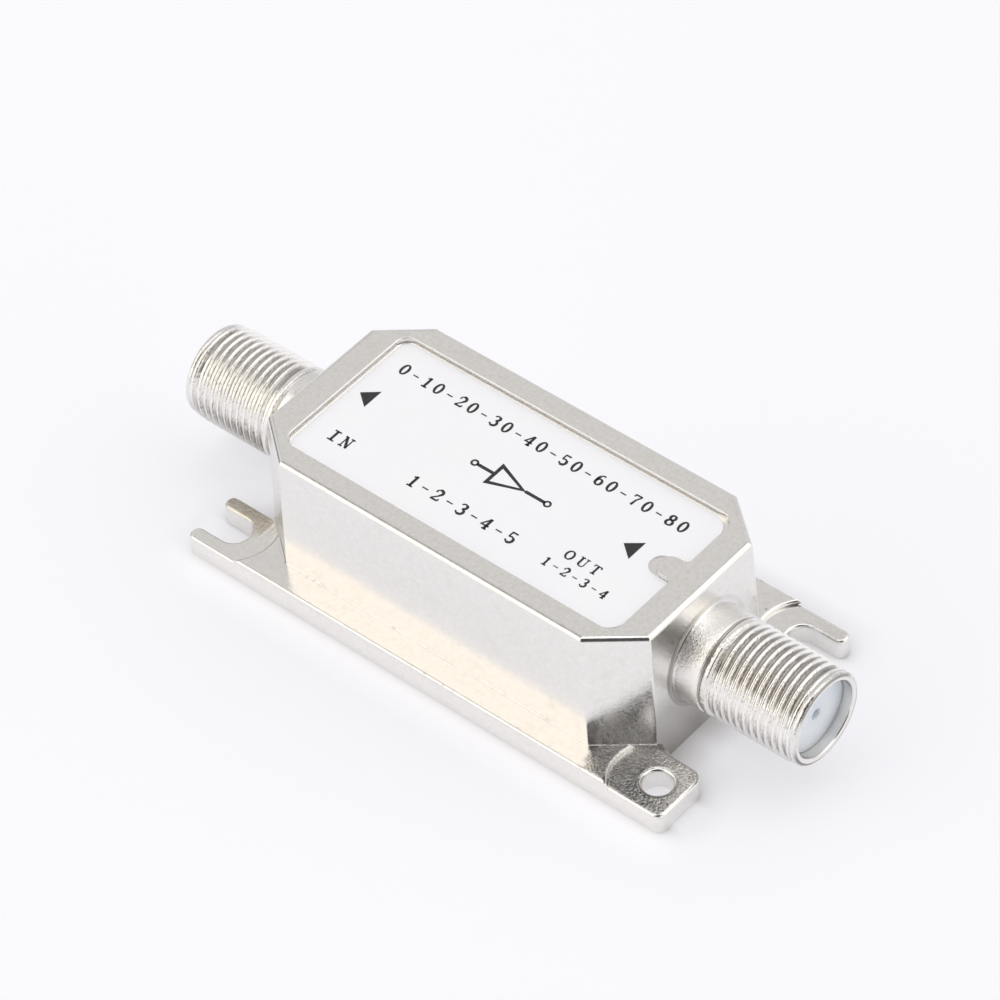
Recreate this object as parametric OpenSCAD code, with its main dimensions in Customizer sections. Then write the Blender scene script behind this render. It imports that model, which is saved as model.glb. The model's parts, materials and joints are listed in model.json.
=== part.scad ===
// In-line signal amplifier for a television aerial lead.
// A nickel-plated zinc die casting with a threaded coaxial port at each end,
// a base flange with four fixing ears, a label in a pocket on top, and the
// amplifier board inside, closed from below by a staked plate.
// Millimetres. +X runs along the ports (output end positive), +Z is up,
// the origin is the bottom centre.

/* [Casting] */
// Height of the box from the mounting plane to the rim
box_h = 15.9; // [15:0.1:17]
// Half length of the box at the rim
top_hl = 22.15; // [21.5:0.05:22.6]
// Half width of the box at the rim
top_hw = 10.8; // [10.4:0.05:11]
// Half length of the box at the mounting plane
base_hl = 22.65; // [22.2:0.05:23]
// Half width of the box at the mounting plane
base_hw = 11.1; // [10.8:0.05:11.4]
// Corner chamfer, leg along the length
cham_x = 4.7; // [3.5:0.1:5.5]
// Corner chamfer, leg across the width
cham_y = 3.75; // [3:0.05:4.5]
// Softened edge of the rim
rim_soft = 0.35; // [0.1:0.05:0.6]
// Thickness of the side walls at the rim
wall = 1.25; // [1:0.05:1.8]
// Thickness of the top under the label pocket
roof = 1.4; // [1:0.1:2]

/* [Flange and ears] */
// Half width over the base flange
flange_hw = 13.6; // [13:0.1:14.5]
// Thickness of the flange
flange_t = 2.75; // [2:0.05:3.5]
// Half length over the ears
ear_hl = 27.9; // [27:0.1:29]
// Thickness of the spot-faced ears
ear_t = 2.3; // [1.8:0.05:2.7]
// Inner edge of the ears from the centre line
ear_in = 7.25; // [6.8:0.05:7.8]
// Screw positions along the length
screw_x = 25.1; // [24.5:0.1:25.5]
// Screw positions across the width
screw_y = 10.4; // [10:0.1:11]
// Radius of the round screw holes
hole_r = 1.4; // [1.3:0.05:1.7]
// Half width of the open screw slots
slot_r = 1.65; // [1.5:0.05:1.8]
// Radius of the spot face around each screw
spot_r = 4.4; // [4:0.1:4.8]

/* [Label pocket] */
// Half length of the pocket
pocket_hl = 19.15; // [18.5:0.05:19.6]
// Half width of the pocket
pocket_hw = 8.4; // [8:0.05:8.8]
// Corner radius of the pocket
pocket_r = 1.3; // [0.8:0.1:2]
// Depth of the pocket
pocket_d = 0.65; // [0.4:0.05:1]
// Reach of the key tab in from the output end of the pocket
key_len = 2.25; // [1.5:0.05:3]
// Half width of the key tab
key_r = 1.1; // [0.8:0.05:1.4]
// Position of the key tab across the width
key_y = 0.6; // [-1:0.1:1]

/* [Ports] */
// Height of the port axis above the mounting plane
port_z = 8.35; // [8:0.05:8.8]
// Port face from the centre
port_face = 35.6; // [35:0.1:36.5]
// Crest radius of the 3/8-32 port thread
thread_r = 4.72; // [4.68:0.01:4.76]
// Thread pitch
pitch = 0.79375; // [0.785:0.00125:0.8]
// Depth of the thread, worn and plated over
thread_d = 0.38; // [0.3:0.02:0.44]
// Width of the flattened crests
crest_w = 0.31; // [0.3:0.005:0.34]
// Full crests on each port
crests = 10; // [8:1:10]
// First crest from the centre
thread_x = 26.55; // [26.3:0.05:27]
// Radius of the port mouth
mouth_r = 3.78; // [3.6:0.02:3.9]
// Depth of the insulator behind the port face
mouth_d = 1.1; // [0.6:0.1:2]
// Radius of the centre entry in the insulator
entry_r = 0.55; // [0.5:0.05:0.8]

/* [Inside] */
// Top face of the circuit board above the mounting plane
board_top = 6; // [5.5:0.1:6.5]
// Thickness of the circuit board
board_t = 1; // [0.8:0.1:1.6]
// Thickness of the copper on the board
copper_t = 0.05; // [0.04:0.01:0.1]
// Thickness of the bottom plate
plate_t = 0.6; // [0.5:0.1:0.8]
// How far the bottom plate is set up from the mounting plane
plate_z = 0.3; // [0.2:0.05:0.5]

/* [Hidden] */
$fn = 64;
e = 0.01;
part_z = board_top + copper_t;

function oct(hl, hw, cx, cy) = [[-hl, -(hw - cy)], [-(hl - cx), -hw], [hl - cx, -hw], [hl, -(hw - cy)],
    [hl, hw - cy], [hl - cx, hw], [-(hl - cx), hw], [-hl, hw - cy]];
function mix(a, b, t) = a + (b - a) * t;

module slab(hl, hw, cx, cy, z, t) translate([0, 0, z]) linear_extrude(t) polygon(oct(hl, hw, cx, cy));

module each_corner() for (sx = [-1, 1], sy = [-1, 1]) translate([sx * screw_x, sy * screw_y, 0]) children();

// drafted eight-sided box with a softened rim
module box_solid() {
    t = (box_h - rim_soft) / box_h;
    hull() {
        slab(base_hl, base_hw, cham_x + 0.1, cham_y, 0, e);
        slab(mix(base_hl, top_hl, t), mix(base_hw, top_hw, t), cham_x, cham_y, box_h - rim_soft - e, e);
    }
    hull() {
        slab(mix(base_hl, top_hl, t), mix(base_hw, top_hw, t), cham_x, cham_y, box_h - rim_soft - e, e);
        slab(top_hl - rim_soft, top_hw - rim_soft, cham_x - 0.15, cham_y - 0.15, box_h - e, e);
    }
}

// one port, drawn from the centre outwards: boss, groove, collar, thread, lead-in
function ridge(i) = let (x = thread_x + i * pitch, f = crest_w / 2, k = f + 0.22)
    [[thread_r - thread_d, x - k], [thread_r, x - f], [thread_r, x + f], [thread_r - thread_d, x + k]];
port_outline = concat(
    [[0, 21.2], [4.75, 21.2], [4.75, 25.05], [4.5, 25.15], [4.5, 25.3], [4.72, 25.4], [4.72, 25.8], [thread_r - thread_d, 26.05]],
    [for (i = [0 : crests - 1]) each ridge(i)],
    [[thread_r - thread_d, port_face - 1.05], [4.5, port_face - 0.85], [4.5, port_face - 0.2], [4.35, port_face], [0, port_face]]);

module port() translate([0, 0, port_z]) rotate([0, 90, 0]) rotate_extrude($fn = 96) polygon(port_outline);

module port_bore() translate([0, 0, port_z]) rotate([0, 90, 0]) {
    translate([0, 0, 24]) cylinder(h = 20, r = mouth_r, $fn = 96);
    translate([0, 0, 19]) cylinder(h = 6, r = 2.5);
}

// flange strip with the spot faces left out, at full thickness
module flange() difference() {
    translate([-22.64, -flange_hw, 0]) cube([45.28, 2 * flange_hw, flange_t]);
    each_corner() translate([0, 0, -1]) cylinder(h = 5, r = spot_r, $fn = 96);
    translate([19.5, -ear_in, -1]) cube([6, 2 * ear_in, 6]);
    translate([-25.5, -ear_in, -1]) cube([6, 2 * ear_in, 6]);
}

module ear(r_in) {
    r = 0.85;
    x1 = ear_hl - r;
    translate([17, -flange_hw, 0]) cube([x1 - 17, flange_hw - ear_in, ear_t]);
    translate([x1 - 0.5, -flange_hw + r, 0]) cube([r + 0.5, flange_hw - ear_in - 2 * r, ear_t]);
    translate([x1, -flange_hw + r, 0]) cylinder(h = ear_t, r = r);
    translate([x1, -ear_in - r, 0]) cylinder(h = ear_t, r = r);
}

module slot_ear() {
    r = 0.72;
    y_out = -(flange_hw - r);
    y_in = -(ear_in + r);
    difference() {
        union() {
            translate([17, -flange_hw, 0]) cube([ear_hl - r - 17, flange_hw - ear_in, ear_t]);
            translate([ear_hl - r, y_out, 0]) cylinder(h = ear_t, r = r);
            translate([ear_hl - r, y_in, 0]) cylinder(h = ear_t, r = r);
        }
        translate([screw_x - 0.3, -screw_y, -1]) cylinder(h = 6, r = slot_r);
        translate([screw_x - 0.3, -screw_y - slot_r, -1]) cube([8, 2 * slot_r, 6]);
    }
}

module hole_ear() difference() {
    ear();
    translate([screw_x, -screw_y, -1]) cylinder(h = 6, r = hole_r);
}

module pocket() translate([0, 0, box_h - pocket_d]) difference() {
    union() {
        translate([-pocket_hl, -(pocket_hw - pocket_r), 0]) cube([2 * pocket_hl, 2 * (pocket_hw - pocket_r), 3]);
        translate([-(pocket_hl - pocket_r), -pocket_hw, 0]) cube([2 * (pocket_hl - pocket_r), 2 * pocket_hw, 3]);
        for (sx = [-1, 1], sy = [-1, 1]) translate([sx * (pocket_hl - pocket_r), sy * (pocket_hw - pocket_r), 0]) cylinder(h = 3, r = pocket_r);
    }
    key_tab(0, 3);
}

module key_tab(grow, h) {
    x0 = pocket_hl - key_len + key_r;
    translate([x0, key_y, -1]) cylinder(h = h + 2, r = key_r + grow);
    translate([x0, key_y - key_r - grow, -1]) cube([6, 2 * (key_r + grow), h + 2]);
}

module cavity() {
    z1 = box_h - pocket_d - roof;
    slab(top_hl - wall, top_hw - wall, cham_x - 0.5, cham_y - 0.4, -1, z1 + 1);
    slab(top_hl - wall + 0.5, top_hw - wall + 0.5, cham_x - 0.4, cham_y - 0.3, -1, 1 + plate_z + plate_t);
}

module board_ribs() {
    z1 = box_h - pocket_d - roof + 0.2;
    yw = top_hw - wall;
    for (x = [-12.4, 0, 12.4], s = [-1, 1])
        translate([x - 0.6, s > 0 ? yw - 0.9 : -yw - 0.3, board_top]) cube([1.2, 1.2, z1 - board_top]);
}

// cast pips peened over the edge of the bottom plate
module stakes() {
    yw = top_hw - wall + 0.5;
    xw = top_hl - wall + 0.5;
    for (x = [-11, 0, 11], s = [-1, 1]) translate([x, s * (yw + 0.25), 0]) cylinder(h = plate_z, r = 0.85);
    for (s = [-1, 1]) translate([s * (xw + 0.2), 0, 0]) cylinder(h = plate_z, r = 0.85);
}

module housing() color([0.78, 0.77, 0.75]) {
    difference() {
        union() {
            box_solid();
            flange();
            hole_ear();
            rotate([0, 0, 180]) hole_ear();
            mirror([1, 0, 0]) slot_ear();
            rotate([0, 0, 180]) mirror([1, 0, 0]) slot_ear();
            port();
            rotate([0, 0, 180]) port();
        }
        cavity();
        pocket();
        port_bore();
        rotate([0, 0, 180]) port_bore();
    }
    board_ribs();
    stakes();
}

module label() color([0.96, 0.96, 0.98]) translate([0, 0, box_h - pocket_d]) {
    hl = pocket_hl - 0.3;
    hw = pocket_hw - 0.22;
    r1 = 1.1;
    r2 = 1.9;
    difference() {
        union() {
            translate([-hl + r1, -hw, 0]) cube([2 * hl - r1 - r2, 2 * hw, 0.12]);
            translate([-hl, -(hw - r1), 0]) cube([2 * r1, 2 * (hw - r1), 0.12]);
            translate([hl - 2 * r2, -(hw - r2), 0]) cube([2 * r2, 2 * (hw - r2), 0.12]);
            for (s = [-1, 1]) {
                translate([-(hl - r1), s * (hw - r1), 0]) cylinder(h = 0.12, r = r1);
                translate([hl - r2, s * (hw - r2), 0]) cylinder(h = 0.12, r = r2);
            }
        }
        translate([pocket_hl - key_len + key_r - 0.75, key_y, -1]) cylinder(h = 3, r = key_r + 0.2);
        translate([pocket_hl - key_len + key_r - 0.75, key_y - key_r - 0.2, -1]) cube([6, 2 * (key_r + 0.2), 3]);
    }
}

module bottom_plate() color([0.72, 0.73, 0.74])
    slab(top_hl - wall + 0.42, top_hw - wall + 0.42, cham_x - 0.4, cham_y - 0.3, plate_z, plate_t);

// holes for the leads of the upright parts
module board_holes() {
    for (x = [-3.9, -1.4]) translate([x, 4.3, 0]) cylinder(h = 20, r = 0.4, $fn = 32);
    for (s = [-1, 1], y = [3.1, 6.3]) translate([s * 14, y, 0]) cylinder(h = 20, r = 0.35, $fn = 32);
}

module circuit_board() color([0.12, 0.36, 0.2]) difference() {
    slab(top_hl - wall - 0.1, top_hw - wall - 0.1, cham_x - 0.5, cham_y - 0.4, board_top - board_t, board_t);
    board_holes();
}

module pad(x, y, w, l) translate([x - w / 2, y - l / 2, board_top]) cube([w, l, copper_t]);

module board_copper() color([0.85, 0.6, 0.3]) difference() {
    union() {
        // signal line along the board
        pad(-17.6, 0, 4.4, 1.5);
        pad(-12.6, -1.6, 3, 1.3);
        pad(-6.35, -1.6, 4.7, 1.3);
        pad(-0.05, -1.6, 5.9, 1.3);
        pad(8.6, -1.6, 6.6, 1.3);
        pad(17.2, 0, 5.2, 1.5);
        // direct current path round the gain stages
        for (s = [-1, 1]) {
            pad(s * 15.6, 2, 0.6, 2.8);
            pad(s * 14.55, 3.1, 2.5, 0.9);
            pad(s * 13.9, 6.9, 2.2, 2.4);
        }
        pad(0, 7.7, 29, 0.9);
        pad(7.1, 7.1, 0.8, 0.9);
        pad(9.4, 7.1, 0.9, 0.9);
        pad(-8.6, 7.1, 0.9, 0.9);
        // ground areas
        difference() {
            pad(-1.3, -6.9, 27, 4.6);
            translate([-2.9, -6.6, 0]) cube([4.6, 3.2, 20]);
        }
        for (x = [-9.9, 4.1]) {
            pad(x, -2.85, 0.9, 3.8);
            pad(x, 2.15, 2.4, 1.5);
        }
        pad(5.6, 3.35, 2.4, 1.3);
        pad(-3.9, 4.3, 1.6, 1.6);
        pad(-1.4, 4.3, 1.6, 1.6);
        pad(-8.6, 4.6, 1.6, 1.6);
        pad(12.3, -5, 1.3, 1.6);
        pad(16.9, -5, 1.3, 1.6);
        pad(17.1, -2.4, 0.7, 3.8);
    }
    board_holes();
}

// the dielectric that centres the contact in a port
module insulator() translate([0, 0, port_z]) rotate([0, 90, 0]) difference() {
    union() {
        translate([0, 0, 24]) cylinder(h = port_face - mouth_d - 24, r = mouth_r - 0.03, $fn = 96);
        translate([0, 0, 21]) cylinder(h = 3.5, r = 2.46);
    }
    translate([0, 0, 20]) cylinder(h = port_face - mouth_d - 1.1 - 20, r = 1.2, $fn = 48);
    translate([0, 0, 20]) cylinder(h = 20, r = entry_r, $fn = 48);
    translate([0, 0, port_face - mouth_d - 0.3]) cylinder(h = 0.31, r1 = entry_r, r2 = entry_r + 0.3, $fn = 48);
}
module output_insulator() color([0.88, 0.9, 0.97]) insulator();
module input_insulator() color([0.88, 0.9, 0.97]) rotate([0, 0, 180]) insulator();

// slotted tubular contact with a flat tail bent down to the board
module contact() {
    translate([0, 0, port_z]) rotate([0, 90, 0]) difference() {
        translate([0, 0, 22.6]) cylinder(h = 10.6, r = 1.1, $fn = 48);
        translate([0, 0, 24]) cylinder(h = 12, r = entry_r, $fn = 48);
        translate([-2, -0.12, 29]) cube([4, 0.24, 8]);
    }
    translate([19.5, -0.55, port_z - 0.15]) cube([3.3, 1.1, 0.3]);
    translate([19.3, -0.55, part_z]) cube([0.3, 1.1, port_z + 0.15 - part_z]);
    translate([17.9, -0.55, part_z]) cube([1.6, 1.1, 0.3]);
}
module output_contact() color([0.86, 0.78, 0.5]) contact();
module input_contact() color([0.86, 0.78, 0.5]) rotate([0, 0, 180]) contact();

// surface-mounted three-lead package; leads face -Y, the tab faces +Y
module three_lead_body() {
    translate([-2.25, -1.25, 0.12]) cube([4.5, 2.5, 1.38]);
    for (x = [-1.5, 0, 1.5]) translate([x - 0.22, -2.05, 0]) cube([0.44, 1.1, 0.4]);
    translate([-0.85, 1, 0]) cube([1.7, 0.95, 0.4]);
}
module input_transistor() color([0.14, 0.14, 0.15]) translate([-9.9, 0.6, part_z]) three_lead_body();
module output_transistor() color([0.14, 0.14, 0.15]) translate([4.1, 0.6, part_z]) three_lead_body();
module bias_regulator() color([0.14, 0.14, 0.15]) translate([5.6, 5, part_z]) mirror([0, 1, 0]) three_lead_body();

module supply_capacitor() color([0.1, 0.14, 0.3]) translate([-2.65, 4.3, part_z]) rotate_extrude($fn = 72)
    polygon([[0, 0.25], [2.1, 0.25], [2.4, 0.45], [2.4, 1.1], [2.2, 1.3], [2.2, 1.5], [2.4, 1.7], [2.4, 6.2], [2.2, 6.45], [0, 6.45]]);
module supply_capacitor_leads() color([0.75, 0.75, 0.77]) for (x = [-3.9, -1.4])
    translate([x, 4.3, board_top - board_t - 1]) cylinder(h = board_t + 1 + copper_t + 0.25, r = 0.25, $fn = 32);

// drum core standing on the board, with its two pins
module choke_core() {
    rotate_extrude() polygon([[0, 0.1], [2.3, 0.1], [2.3, 0.8], [1.1, 0.8], [1.1, 3.8], [2.3, 3.8], [2.3, 4.5], [0, 4.5]]);
    for (y = [-1.6, 1.6]) translate([0, y, -board_t - 0.9]) cylinder(h = board_t + 1.1, r = 0.22, $fn = 32);
}
module choke_winding() rotate_extrude() polygon(concat([[1.12, 0.83]],
    [for (i = [0 : 8]) each [[1.75, 0.83 + i * 0.325], [1.9, 0.93 + i * 0.325], [1.9, 1.04 + i * 0.325], [1.75, 1.14 + i * 0.325]]],
    [[1.75, 3.77], [1.12, 3.77]]));
module input_choke_core() color([0.22, 0.21, 0.21]) translate([-14, 4.7, part_z]) choke_core();
module output_choke_core() color([0.22, 0.21, 0.21]) translate([14, 4.7, part_z]) choke_core();
module input_choke_winding() color([0.72, 0.4, 0.18]) translate([-14, 4.7, part_z]) choke_winding();
module output_choke_winding() color([0.72, 0.4, 0.18]) translate([14, 4.7, part_z]) choke_winding();

module surge_diode() color([0.12, 0.12, 0.13]) translate([14.6, -5, part_z]) {
    translate([-2.1, -1.3, 0.15]) cube([4.2, 2.6, 1.9]);
    for (s = [-1, 1]) translate([s * 2.2 - 0.35, -0.7, 0]) cube([0.7, 1.4, 1.1]);
}

// chip part lying along X
module chip(x, y, turn, l, w, h) translate([x, y, part_z]) rotate([0, 0, turn]) translate([-l / 2, -w / 2, 0]) cube([l, w, h]);

module coupling_capacitors() color([0.72, 0.6, 0.42]) {
    chip(-14.75, -0.8, -40, 2, 1.2, 0.9);
    chip(-3.5, -1.6, 0, 2, 1.2, 0.9);
    chip(13.25, -0.85, 25, 2, 1.2, 0.9);
}
module decoupling_capacitors() color([0.66, 0.52, 0.34]) {
    chip(-12.6, -4.2, 90, 1.6, 0.8, 0.7);
    chip(-7.4, -4.2, 90, 1.6, 0.8, 0.7);
    chip(6.9, -4.2, 90, 1.6, 0.8, 0.7);
    chip(9.4, 6.1, 90, 1.6, 0.8, 0.7);
    chip(-8.6, 6, 90, 1.6, 0.8, 0.7);
    chip(10, -5.6, 0, 1.6, 0.8, 0.7);
}
module chip_resistors() color([0.1, 0.1, 0.11]) {
    chip(-5, -4.2, 90, 1.6, 0.8, 0.5);
    chip(-13.2, 1.3, 0, 1.6, 0.8, 0.5);
    chip(-6.4, 0, 90, 1.6, 0.8, 0.5);
    chip(0.8, 1.3, 0, 1.6, 0.8, 0.5);
    chip(2.2, 6.4, 90, 1.6, 0.8, 0.5);
    chip(10.4, 0.4, 90, 1.6, 0.8, 0.5);
}

// air-wound coil, turns side by side, each closed on itself
module equaliser_coil() color([0.8, 0.47, 0.22]) translate([-0.6, -5, part_z + 1.45]) {
    for (i = [0 : 4]) translate([-1.2 + i * 0.6, 0, 0]) rotate([0, 90, 0]) rotate_extrude() translate([1.15, 0]) circle(r = 0.25, $fn = 48);
    rotate([0, 90, 0]) translate([0, 0, -1.45]) difference() {
        cylinder(h = 2.9, r = 1.1, $fn = 48);
        translate([0, 0, -1]) cylinder(h = 6, r = 0.95, $fn = 48);
    }
}

module cone_joint(x, y) translate([x, y, board_top - board_t - 0.7]) difference() {
    cylinder(h = 0.7, r1 = 0.35, r2 = 0.95, $fn = 40);
    translate([0, 0, -1]) cylinder(h = 3, r = 0.26, $fn = 32);
}
module solder_joints() color([0.8, 0.8, 0.82]) {
    for (x = [-3.9, -1.4]) cone_joint(x, 4.3);
    for (s = [-1, 1], y = [3.1, 6.3]) cone_joint(s * 14, y);
}
// solder that bonds the board's edge to the casting beside the fixing ribs
module ground_solder() color([0.8, 0.8, 0.82]) for (x = [-8, 8], s = [-1, 1])
    translate([x, s * (top_hw - wall - 0.9), board_top - board_t - 0.8]) cylinder(h = 0.8, r1 = 0.45, r2 = 0.88, $fn = 40);

housing();
label();
bottom_plate();
circuit_board();
board_copper();
input_insulator();
output_insulator();
input_contact();
output_contact();
input_transistor();
output_transistor();
bias_regulator();
supply_capacitor();
supply_capacitor_leads();
input_choke_core();
input_choke_winding();
output_choke_core();
output_choke_winding();
surge_diode();
coupling_capacitors();
decoupling_capacitors();
chip_resistors();
equaliser_coil();
solder_joints();
ground_solder();
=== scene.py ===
import json
import math

import bmesh
import bpy
from mathutils import Matrix, Vector


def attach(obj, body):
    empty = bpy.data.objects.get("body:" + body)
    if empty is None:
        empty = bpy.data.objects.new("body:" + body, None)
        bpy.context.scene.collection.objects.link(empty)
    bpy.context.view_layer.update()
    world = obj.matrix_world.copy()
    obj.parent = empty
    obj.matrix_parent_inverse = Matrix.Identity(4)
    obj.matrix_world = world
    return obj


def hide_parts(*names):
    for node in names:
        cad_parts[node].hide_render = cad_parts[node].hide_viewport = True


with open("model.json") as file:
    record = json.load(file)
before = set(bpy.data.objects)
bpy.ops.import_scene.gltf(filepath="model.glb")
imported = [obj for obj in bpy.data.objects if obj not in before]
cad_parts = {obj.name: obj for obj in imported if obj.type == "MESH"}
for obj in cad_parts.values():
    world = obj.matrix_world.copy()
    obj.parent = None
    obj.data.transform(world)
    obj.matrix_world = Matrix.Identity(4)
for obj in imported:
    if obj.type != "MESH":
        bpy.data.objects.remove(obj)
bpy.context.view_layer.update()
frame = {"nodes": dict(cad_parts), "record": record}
nodes = frame["nodes"]
MM = 0.001
scene = bpy.context.scene

# ---------------------------------------------------------------- camera
right = Vector((0.76035451, 0.64689281, -0.05822975))
up = Vector((-0.43772802, 0.57660186, 0.6898728))
back = Vector((0.47984914, -0.4990591, 0.72158493))
cam = bpy.data.cameras.new("camera")
cam.lens = 184.521
cam.sensor_width = 36.0
cam.clip_start = 0.01
cam.clip_end = 20.0
cam_ob = bpy.data.objects.new("camera", cam)
scene.collection.objects.link(cam_ob)
m = Matrix.Identity(4)
for i in range(3):
    m[i][0], m[i][1], m[i][2] = right[i], up[i], back[i]
m.translation = Vector((217.27029, -226.96891, 340.7433)) * MM
cam_ob.matrix_world = m
scene.camera = cam_ob
scene.view_settings.view_transform = "Standard"

# ---------------------------------------------------------------- sizes, in mm
BOX_H = 15.9
TOP_HL, TOP_HW = 22.15, 10.8
BASE_HL, BASE_HW = 22.65, 11.1
CX, CY = 4.7, 3.75
PORT_Z = 8.35
FACE_X = 35.6
FL_HW, FL_T = 13.6, 2.75
EAR_T, EAR_IN, EAR_HL = 2.3, 7.25, 27.9
SCREW_X, SCREW_Y = 25.1, 10.4
HOLE_R, SLOT_R, SPOT_R = 1.4, 1.65, 4.4
POCKET_D = 0.65
BOARD = 6.0
PART_Z = 6.05


# ---------------------------------------------------------------- mesh tools
def to_object(bm, name):
    bmesh.ops.recalc_face_normals(bm, faces=bm.faces[:])
    me = bpy.data.meshes.new(name)
    bm.to_mesh(me)
    bm.free()
    me.transform(Matrix.Scale(MM, 4))
    me.update()
    ob = bpy.data.objects.new(name, me)
    scene.collection.objects.link(ob)
    return ob


def add_loft(bm, rings, cap=True):
    rows = [[bm.verts.new(p) for p in r] for r in rings]
    n = len(rings[0])
    for a, b in zip(rows, rows[1:]):
        for i in range(n):
            j = (i + 1) % n
            bm.faces.new((a[i], a[j], b[j], b[i]))
    if cap:
        bm.faces.new(rows[0][::-1])
        bm.faces.new(rows[-1])
    return rows


def loft(name, rings):
    bm = bmesh.new()
    add_loft(bm, rings)
    return to_object(bm, name)


def fillet_corners(pts, radii, seg=5):
    """Replaces each corner of a polygon by an arc of its own radius."""
    out = []
    n = len(pts)
    for i in range(n):
        p = Vector(pts[i])
        r = radii[i] if isinstance(radii, (list, tuple)) else radii
        if r <= 0:
            out.append((p.x, p.y))
            continue
        a = (Vector(pts[i - 1]) - p).normalized()
        b = (Vector(pts[(i + 1) % n]) - p).normalized()
        half = math.acos(max(-1.0, min(1.0, a.dot(b)))) / 2
        if math.pi / 2 - half < 0.01:
            out.append((p.x, p.y))
            continue
        t = r / math.tan(half)
        centre = p + (a + b).normalized() * (r / math.sin(half))
        s, e = p + a * t, p + b * t
        a0 = math.atan2(s.y - centre.y, s.x - centre.x)
        a1 = math.atan2(e.y - centre.y, e.x - centre.x)
        d = (a1 - a0 + math.pi) % (2 * math.pi) - math.pi
        for k in range(seg + 1):
            w = a0 + d * k / seg
            out.append((centre.x + r * math.cos(w), centre.y + r * math.sin(w)))
    return out


def inset(poly, d):
    """Moves a counter-clockwise outline inwards by d."""
    out = []
    n = len(poly)
    for i in range(n):
        p0, p, p1 = Vector(poly[i - 1]), Vector(poly[i]), Vector(poly[(i + 1) % n])
        e0, e1 = (p - p0).normalized(), (p1 - p).normalized()
        n0, n1 = Vector((-e0.y, e0.x)), Vector((-e1.y, e1.x))
        k = d / max(0.3, 1 + n0.dot(n1))
        q = p + (n0 + n1) * k
        out.append((q.x, q.y))
    return out


def arc(cx, cy, r, a0, a1, n):
    return [
        (cx + r * math.cos(math.radians(a0 + (a1 - a0) * k / n)), cy + r * math.sin(math.radians(a0 + (a1 - a0) * k / n)))
        for k in range(n + 1)
    ]


def at(poly, z):
    return [(x, y, z) for x, y in poly]


def plate(name, poly, z0, z1, top=0.0, bottom=0.0, seg=4):
    """A slab over an outline, with rounded upper and lower edges."""
    rings = []
    if bottom:
        for k in range(seg + 1):
            w = math.pi / 2 * k / seg
            rings.append(at(inset(poly, bottom * (1 - math.sin(w))), z0 + bottom * (1 - math.cos(w))))
    else:
        rings.append(at(poly, z0))
    if top:
        for k in range(seg + 1):
            w = math.pi / 2 * k / seg
            rings.append(at(inset(poly, top * (1 - math.cos(w))), z1 - top + top * math.sin(w)))
    else:
        rings.append(at(poly, z1))
    return loft(name, rings)


def boolean(ob, others, operation):
    """Joins or cuts closed meshes and keeps the result as plain mesh."""
    for other in others:
        mod = ob.modifiers.new("b", "BOOLEAN")
        mod.operation = operation
        mod.object = other
        mod.solver = "MANIFOLD"
        dg = bpy.context.evaluated_depsgraph_get()
        me = bpy.data.meshes.new_from_object(ob.evaluated_get(dg))
        ob.modifiers.clear()
        old = ob.data
        ob.data = me
        bpy.data.meshes.remove(old)
        gone = other.data
        bpy.data.objects.remove(other)
        bpy.data.meshes.remove(gone)
    return ob


def turned(ob, mirror=False):
    """A second copy of a mesh, half a turn round the vertical axis."""
    me = ob.data.copy()
    me.transform(Matrix.Rotation(math.pi, 4, "Z"))
    copy = bpy.data.objects.new(ob.name + "_b", me)
    scene.collection.objects.link(copy)
    return copy


def finish_mesh(ob, angle=33.0, weighted=True):
    me = ob.data
    bm = bmesh.new()
    bm.from_mesh(me)
    torn = sum(1 for e in bm.edges if len(e.link_faces) != 2)
    print("mesh", ob.name, len(bm.verts), "open edges", torn, "volume mm3", round(bm.calc_volume() * 1e9, 2))
    bm.free()
    me.polygons.foreach_set("use_smooth", [True] * len(me.polygons))
    me.set_sharp_from_angle(angle=math.radians(angle))
    if weighted:
        w = ob.modifiers.new("normals", "WEIGHTED_NORMAL")
        w.mode = "FACE_AREA"
        w.weight = 50
        w.keep_sharp = True
    me.update()


def octagon(hl, hw, cx, cy):
    return [(-hl, -(hw - cy)), (-(hl - cx), -hw), (hl - cx, -hw), (hl, -(hw - cy)), (hl, hw - cy), (hl - cx, hw), (-(hl - cx), hw), (-hl, hw - cy)]


# ---------------------------------------------------------------- housing
def body_outline(z, r=0.35, seg=5):
    t = z / BOX_H
    hl = BASE_HL + (TOP_HL - BASE_HL) * t
    hw = BASE_HW + (TOP_HW - BASE_HW) * t
    return fillet_corners(octagon(hl, hw, CX + 0.1 * (1 - t), CY), r, seg)


def keyed_outline(hl, hw, xc, r, r_left, r_right, lip):
    """A rounded rectangle with a round-ended notch standing in from the +X end."""
    tab = arc(xc, 0.6, r, 270, 90, 20)
    pts = [(-hl, -hw), (hl, -hw), (hl, 0.6 - r)] + tab + [(hl, 0.6 + r), (hl, hw), (-hl, hw)]
    radii = [r_left, r_right, lip] + [0] * len(tab) + [lip, r_right, r_left]
    return fillet_corners(pts, radii, 8)


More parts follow.
